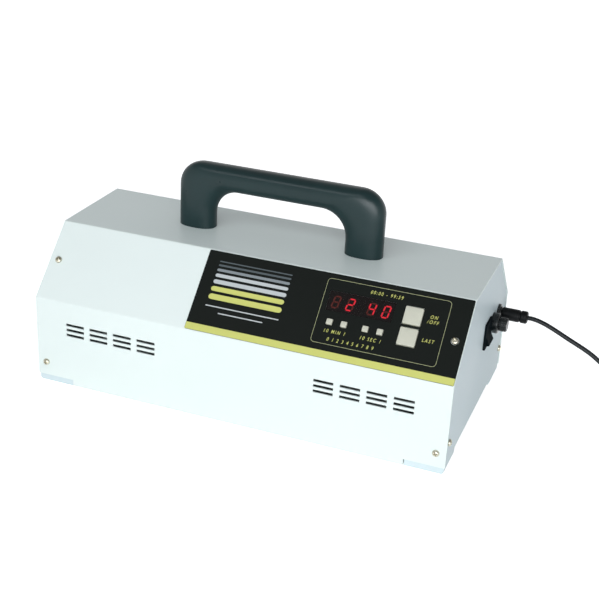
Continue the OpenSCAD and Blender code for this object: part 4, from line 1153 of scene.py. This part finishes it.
@dataclass
class PanHeadScrews:
    """Cross-recessed pan heads, modelled once and copied to every place, each turned in radians."""

    head_d: float = 5.6
    head_h: float = 2.4
    shank_d: float = 3.0
    shank_l: float = 8.0
    recess_l: float = 3.3
    recess_w: float = 0.85
    recess_h: float = 1.4
    top_r: float = 0.3
    rim_h: float = 0.12
    rim_in: float = 0.1
    rim_share: float = 0.25
    crown_power: float = 0.8
    crown_steps: int = 8
    tip_r: float = 0.4
    tip_in: float = 0.3
    tip_l: float = 0.4
    edge_mm: float = 0.12
    edge_angle: float = 40.0
    first_turn: float = 0.35
    next_turn: float = 0.8

    def pattern(self) -> bpy.types.Object:
        """Model one screw with its seat at the origin.

        Returns:
            The screw, pointing down.
        """
        r, h, shank_r = self.head_d / 2, self.head_h, self.shank_d / 2
        angles = [math.pi / 2 * k / self.crown_steps for k in range(self.crown_steps)]
        crown = [(r * math.cos(a) ** self.crown_power,
                  h * (self.rim_share + (1 - self.rim_share) * math.sin(a))) for a in angles]
        shank = [(self.tip_r, -self.shank_l), (shank_r - self.tip_in, -self.shank_l),
                 (shank_r, self.tip_l - self.shank_l), (shank_r, 0.0)]
        rim = [(r - self.rim_in, 0.0), (r, self.rim_h)]
        screw = turned("pan_head", shank + rim + crown + [(self.top_r, h)])
        for angle in (0, 90):
            wing = block("wing", (self.recess_l, self.recess_w, self.recess_h * 2), (0, 0, h))
            wing.data.transform(Matrix.Rotation(math.radians(angle), 4, "Z"))
            in_edit_mode(wing, (bpy.ops.mesh.normals_make_consistent, {"inside": False}))
            carve(screw, wing)
        round_edges(screw, self.edge_mm, 2, self.edge_angle)
        return screw

    def spots(self, node: str) -> list[Matrix]:
        """Read the place and direction of each screw from the solids of its CAD node.

        Args:
            node: The CAD node.

        Returns:
            One matrix for each screw.
        """
        clusters: list[list[Vector]] = []
        for vertex in frame["nodes"][node].data.vertices:
            for cluster in clusters:
                if (cluster[0] - vertex.co).length < 2 * (self.shank_l + self.head_h) * MM:
                    cluster.append(vertex.co)
                    break
            else:
                clusters.append([vertex.co])
        return [self.upright(cluster, node == "end_screws") for cluster in clusters]

    def upright(self, cluster: list[Vector], in_end: bool) -> Matrix:
        """Find a screw's seat on the wall that it goes through.

        Args:
            cluster: The points of its CAD solid.
            in_end: Whether it goes through an end panel.

        Returns:
            The screw's place and turn.
        """
        low, high = (Vector([pick_one(p[i] for p in cluster) for i in range(3)]) for pick_one in (min, max))
        middle = (low + high) / 2
        lean = Housing().slope.to_3x3() @ Vector((0, 0, 1))
        if in_end:
            way = Vector((math.copysign(1, middle.x), 0, 0))
        elif middle.z > Housing.wall_height * MM:
            way = Vector((lean.x, math.copysign(lean.y, middle.y), lean.z))
        else:
            way = Vector((0, math.copysign(1, middle.y), 0))
        top, bottom = (pick_one(p.dot(way) for p in cluster) for pick_one in (max, min))
        seat = middle + way * (top - self.head_h * MM - middle.dot(way))
        across = way.cross(Vector((1, 0, 0)) if abs(way.x) < 0.5 else Vector((0, 0, 1)))
        offs = [p.dot(across) for p in cluster]
        seat += across * ((min(offs) + max(offs)) / 2 - seat.dot(across))
        log.info("screw of %.1f mm at %s", (top - bottom) / MM, [round(c, 4) for c in seat])
        return Matrix.Translation(seat) @ way.to_track_quat("Z", "Y").to_matrix().to_4x4()

    def build(self) -> None:
        """Copy the screw to each place of the cover and the end panels."""
        pattern = self.pattern()
        for node in ("cover_screws", "end_screws"):
            parts = [copy_at(pattern, spot @ Matrix.Rotation(self.first_turn + self.next_turn * i, 4, "Z"))
                     for i, spot in enumerate(self.spots(node))]
            show(join(f"{node}_pan_heads", parts), Look.NICKEL, "housing", node)
        drop(pattern)


# Control panel on the slope
@dataclass(frozen=True)
class KeyShape:
    """Rounding of one size of key, in millimetres."""

    corner: float
    rim: float
    dish: float
    cap_gap_s: float
    lip_gap_s: float


class KeySize(Enum):
    """The two sizes of key."""

    SMALL = KeyShape(corner=0.6, rim=0.35, dish=0.15, cap_gap_s=2.0, lip_gap_s=0.0)
    LARGE = KeyShape(corner=1.1, rim=0.55, dish=0.3, cap_gap_s=1.0, lip_gap_s=1.0)


@dataclass
class Keys:
    """Moulded key caps, each with the lip and the stem that hold it in the panel."""

    large_from: float = 10.0
    cap_base: float = -1.5
    cap_gap_x: float = 2.0
    lip_t: float = 0.8
    lip_edge: float = 0.15
    stem_r: float = 1.7
    stem_in: float = 0.7
    stem_facets: int = 24
    rim_steps: int = 5
    crown_steps: int = 5
    crown_end: float = 5.5
    smooth_angle: float = 40.0

    def __post_init__(self) -> None:
        """Read the keys' places from the frame."""
        self.space = Housing().slope
        self.boxes = {node: box_in(node, self.space) for node in BODY_OF if node.endswith("_button")}

    def middle(self, node: str) -> Vector:
        """Give a key's middle, in slope space.

        Args:
            node: The key's CAD node.

        Returns:
            Its middle along the edge and up the slope, with no height.
        """
        low, high = self.boxes[node]
        return Vector(((low.x + high.x) / 2, (low.y + high.y) / 2, 0))

    def cap(self, w: float, h: float, top: float, shape: KeyShape) -> bpy.types.Object:
        """Model a crowned cap with a rounded rim.

        Args:
            w: Its width, in millimetres.
            h: Its height up the slope.
            top: Height of its rim above the slope.
            shape: Its rounding.

        Returns:
            The cap round the origin of slope space.
        """
        rim, dish, corner = shape.rim, shape.dish, shape.corner
        rings = [rounded(w, h, corner, self.cap_base), rounded(w, h, corner, top - dish - rim)]
        for k in range(1, self.rim_steps + 1):
            a = math.pi / 2 * k / self.rim_steps
            inset = rim * (1 - math.cos(a))
            rings.append(rounded(w - 2 * inset, h - 2 * inset, corner, top - dish - rim * (1 - math.sin(a))))
        for k in range(1, self.crown_steps + 1):
            shrink = 1 - k / self.crown_end
            rings.append(rounded((w - 2 * rim) * shrink, (h - 2 * rim) * shrink, corner * shrink,
                                 top - dish * shrink ** 2))
        return loft("cap", rings)

    def mould(self, node: str) -> None:
        """Model one key in the place of its CAD node.

        Args:
            node: The key's CAD node.
        """
        low, high = self.boxes[node]
        w, h = high.x - low.x, high.y - low.y
        shape = (KeySize.LARGE if w > self.large_from else KeySize.SMALL).value
        cap = self.cap(w - self.cap_gap_x, h - shape.cap_gap_s, high.z, shape)
        lip = block("lip", (w, h - shape.lip_gap_s, self.lip_t), (0, 0, self.cap_base - self.lip_t / 2))
        stem = turned("stem", [(self.stem_r, low.z), (self.stem_r, self.cap_base - self.stem_in)],
                      self.stem_facets)
        round_edges(lip, self.lip_edge)
        smooth(stem)
        smooth(cap, self.smooth_angle)
        piece = join(f"{node}_cap", [cap, lip, stem])
        piece.data.transform(self.space @ Matrix.Translation(self.middle(node) * MM))
        show(piece, Look.KEY_ABS, BODY_OF[node], node)

    def build(self) -> None:
        """Make every key."""
        for node in self.boxes:
            self.mould(node)


@dataclass
class ControlPanel:
    """Printed film with its generic stripes, the timer's frame and legends, and the display."""

    ink_t: float = 0.04
    film_edge: float = 0.15
    strip_h: float = 5.7
    bar_steps: int = 8
    timer_shift: tuple[float, float] = (-22.9, -0.8)
    frame_w: float = 98.0
    frame_h: float = 52.9
    frame_rise: float = 0.15
    frame_line: float = 0.22
    frame_corner: float = 3.0
    stripes_left: float = -30.5
    stripes_right: float = 31.0
    graded: tuple[tuple[float, float, Look], ...] = (
        (60.7, 1.0, Look.SLATE_INK), (57.4, 1.6, Look.SLATE_INK), (53.4, 2.2, Look.GREY_INK),
        (48.8, 2.8, Look.PALE_INK), (43.5, 3.4, Look.PALE_INK), (37.5, 4.0, Look.YELLOW_INK),
        (30.8, 4.6, Look.YELLOW_INK),
    )
    thin: tuple[tuple[float, float], ...] = ((22.9, 0.0), (18.1, 12.0))
    thin_h: float = 0.9
    legend_h: float = 2.8
    legend_narrow: float = 0.8
    legend_lean: float = 0.2
    legend_spacing: float = 1.45
    legend_offset: float = 0.02
    capital_share: float = 0.7
    below_keys: float = 7.3
    below_names: float = 6.4
    beside_pads: float = 15.6
    range_shift: tuple[float, float] = (-1.0, 21.6)

    def __post_init__(self) -> None:
        """Read the film's place from the frame, and the timer's from its keys."""
        self.space = Housing().slope
        self.film_low, self.film_high = box_in("control_overlay", self.space)
        self.keys = Keys()
        pads = self.keys.middle("start_button").lerp(self.keys.middle("recall_button"), 0.5)
        self.timer = pads + Vector((*self.timer_shift, 0))

    def place(self, piece: bpy.types.Object) -> bpy.types.Object:
        """Move a piece from slope space to the row frame.

        Args:
            piece: A piece that was built in slope space.

        Returns:
            The same piece.
        """
        piece.data.transform(self.space)
        return piece

    def ink(self, name: str, outline: list[tuple[float, float]], look: Look) -> bpy.types.Object:
        """Print one flat figure on the film.

        Args:
            name: The piece's name.
            outline: Corners in slope space, in millimetres, counterclockwise.
            look: The ink.

        Returns:
            The printed figure, a thin closed solid.
        """
        low, high = self.film_high.z, self.film_high.z + self.ink_t
        rings = [[Vector((x, s, z)) * MM for x, s in outline] for z in (low, high)]
        return show(self.place(loft(name, rings)), look, "housing")

    def bar(self, name: str, x0: float, x1: float, s: float, h: float, look: Look) -> bpy.types.Object:
        """Print a bar with round ends.

        Args:
            name: The piece's name.
            x0: Its left end, in slope space, in millimetres.
            x1: Its right end.
            s: Height of its middle up the slope.
            h: Its height.
            look: The ink.

        Returns:
            The printed bar.
        """
        r = h / 2
        right = arc((x1 - r, s), r, -90, 180, self.bar_steps)
        left = arc((x0 + r, s), r, 90, 180, self.bar_steps)
        return self.ink(name, right + left, look)

    def print_strip(self) -> None:
        """Print the plain yellow strip along the film's lower edge."""
        x0, x1 = self.film_low.x + self.film_edge, self.film_high.x - self.film_edge
        s0, s1 = self.film_low.y + self.film_edge, self.film_low.y + self.strip_h
        self.ink("yellow_strip", [(x0, s0), (x1, s0), (x1, s1), (x0, s1)], Look.YELLOW_INK)

    def print_stripes(self) -> None:
        """Print a generic fan of graded bars, thin and slate at the top, broad and yellow below."""
        for i, (s, h, look) in enumerate(self.graded):
            self.bar(f"graded_bar_{i + 1}", self.stripes_left, self.stripes_right, s, h, look)
        for i, (s, inset) in enumerate(self.thin):
            self.bar(f"thin_bar_{i + 1}", self.stripes_left + inset, self.stripes_right - inset, s,
                     self.thin_h, Look.PALE_INK)

    def print_frame(self) -> None:
        """Print the thin rounded line round the timer."""
        low, high = self.film_high.z, self.film_high.z + self.ink_t
        edges = [(0, low), (0, high), (self.frame_line, high), (self.frame_line, low), (0, low)]
        rings = [rounded(self.frame_w - 2 * inset, self.frame_h - 2 * inset, self.frame_corner - inset, z)
                 for inset, z in edges]
        line = loft("timer_frame_line", rings, capped=False)
        line.data.transform(Matrix.Translation((self.timer + Vector((0, self.frame_rise, 0))) * MM))
        show(self.place(line), Look.LINE_INK, "housing")

    def legend(self, name: str, words: str, x: float, s: float) -> None:
        """Print a short generic legend, leaning as panel lettering does.

        Args:
            name: The piece's name.
            words: The legend.
            x: Place of its middle along the edge, in slope space.
            s: Place of its middle up the slope.
        """
        deselect()
        bpy.ops.object.text_add(location=(0, 0, 0))
        text = bpy.context.object
        text.data.body = words
        text.data.size = self.legend_h * MM / self.capital_share
        text.data.shear = self.legend_lean
        text.data.space_character = self.legend_spacing
        text.data.align_x, text.data.align_y = "CENTER", "CENTER"
        text.data.offset = self.legend_offset * MM
        text.data.extrude = self.ink_t * MM / 2
        bpy.ops.object.convert(target="MESH")
        piece = fresh(name)
        piece.data.transform(Matrix.Diagonal((self.legend_narrow, 1, 1, 1)))
        piece.data.transform(Matrix.Translation(Vector((x, s, self.film_high.z + self.ink_t / 2)) * MM))
        in_edit_mode(piece, (bpy.ops.mesh.remove_doubles, {"threshold": SAME_POINT}))
        show(self.place(piece), Look.YELLOW_INK, "housing")

    def print_legends(self) -> None:
        """Print the timer's short legends and a row of plain figures."""
        at = {node: self.keys.middle(node) for node in self.keys.boxes}
        minutes = (at["minute_tens_button"].x + at["minute_units_button"].x) / 2
        seconds = (at["second_tens_button"].x + at["second_units_button"].x) / 2
        below = at["minute_tens_button"].y - self.below_keys
        start, recall = at["start_button"], at["recall_button"]
        for name, words, x, s in (
                ("legend_minutes", "10 MIN 1", minutes, below),
                ("legend_seconds", "10 SEC 1", seconds, below),
                ("legend_digits", "0 1 2 3 4 5 6 7 8 9", (minutes + seconds) / 2, below - self.below_names),
                ("legend_on_off", "ON\n/OFF", start.x + self.beside_pads, start.y),
                ("legend_last", "LAST", recall.x + self.beside_pads, recall.y),
                ("legend_range", "00:00 - 99:59", self.timer.x + self.range_shift[0],
                 self.timer.y + self.range_shift[1])):
            self.legend(name, words, x, s)

    def build(self) -> None:
        """Dress the film and the display, print the film, and make the keys."""
        dress(Look.OVERLAY_FILM, "control_overlay")
        dress(Look.RED_WINDOW, "display_filter")
        dress(Look.LIT_BAR, "lit_bars")
        dress(Look.DARK_BAR, "dark_bars")
        dress(Look.DISPLAY_CASE, "display_minutes", "display_seconds")
        self.print_strip()
        self.print_stripes()
        self.print_frame()
        self.print_legends()
        self.keys.build()


# Switch, fuse holder and jack
@dataclass
class InletGroup:
    """Black moulded parts on the right end."""

    edge_mm: float = 0.3
    cap_edge_mm: float = 0.15

    def build(self) -> None:
        """Round and dress the moulded parts."""
        soften("switch_housing", "switch_bezel", Look.SWITCH_BLACK, self.edge_mm)
        soften("rocker", "switch_rocker", Look.SWITCH_BLACK, self.edge_mm, 3)
        soften("fuse_holder", "fuse_socket", Look.GLOSS_BLACK, self.edge_mm)
        soften("fuse_cap", "fuse_carrier_cap", Look.GLOSS_BLACK, self.cap_edge_mm)
        soften("dc_jack", "jack_socket", Look.GLOSS_BLACK, self.edge_mm)


# Window, lamps and what stands inside
@dataclass
class LampBay:
    """Pan, seal, glass, tubes and reflector, seen from below through the window."""

    pan_edge: float = 0.15
    moulded_edge: float = 0.3
    cap_edge: float = 0.2
    lamps: int = 4

    def build(self) -> None:
        """Dress the bay from the window inwards."""
        soften("window_frame", "window_pan", Look.PAN_PAINT, self.pan_edge)
        dress(Look.SEAL, "window_gasket")
        soften("window_glass", "window_pane", Look.GLASS, self.moulded_edge)
        for i in range(1, self.lamps + 1):
            soften(f"lamp_{i}", f"tube_{i}", Look.PHOSPHOR, 0.0)
        soften("lamp_caps", "tube_caps", Look.LAMP_CAP, self.cap_edge)
        for side in ("left", "right"):
            soften(f"sockets_{side}", f"lamp_holders_{side}", Look.IVORY, self.moulded_edge)
            dress(Look.BRACKET, f"socket_bracket_{side}")
        dress(Look.REFLECTOR, "reflector")
        dress(Look.ZINC, "glass_clips", "inner_screws", "handle_screws", "panel_nuts")
        dress(Look.BRASS, "lamp_pins", "handle_inserts", "spacers", "solder_tags")


@dataclass
class Electronics:
    """Boards and what stands on them, hidden by the housing."""

    def build(self) -> None:
        """Dress the boards and their parts."""
        dress(Look.BOARD, "ballast_board", "timer_board")
        dress(Look.WINDING, "transformers")
        dress(Look.SLEEVE, "capacitors")
        dress(Look.HEAT_SINK, "heat_sink")
        dress(Look.RESIN, "chips", "tact_switches", "buzzer")
        dress(Look.IVORY, "headers")
        dress(Look.WIRE, "wiring")
        dress(Look.FUSE_METAL, "fuse")


def main() -> None:
    """Build the studio, the cord and every sub-assembly in order."""
    logging.basicConfig(level=logging.INFO, format="%(name)s: %(message)s")
    Studio().set_up()
    for assembly in (SupplyCord(), Casing(), BowHandle(), PanHeadScrews(), ControlPanel(), InletGroup(),
                     LampBay(), Electronics()):
        log.info("building %s", type(assembly).__name__)
        assembly.build()
    deselect()


if __name__ == "__main__":
    main()
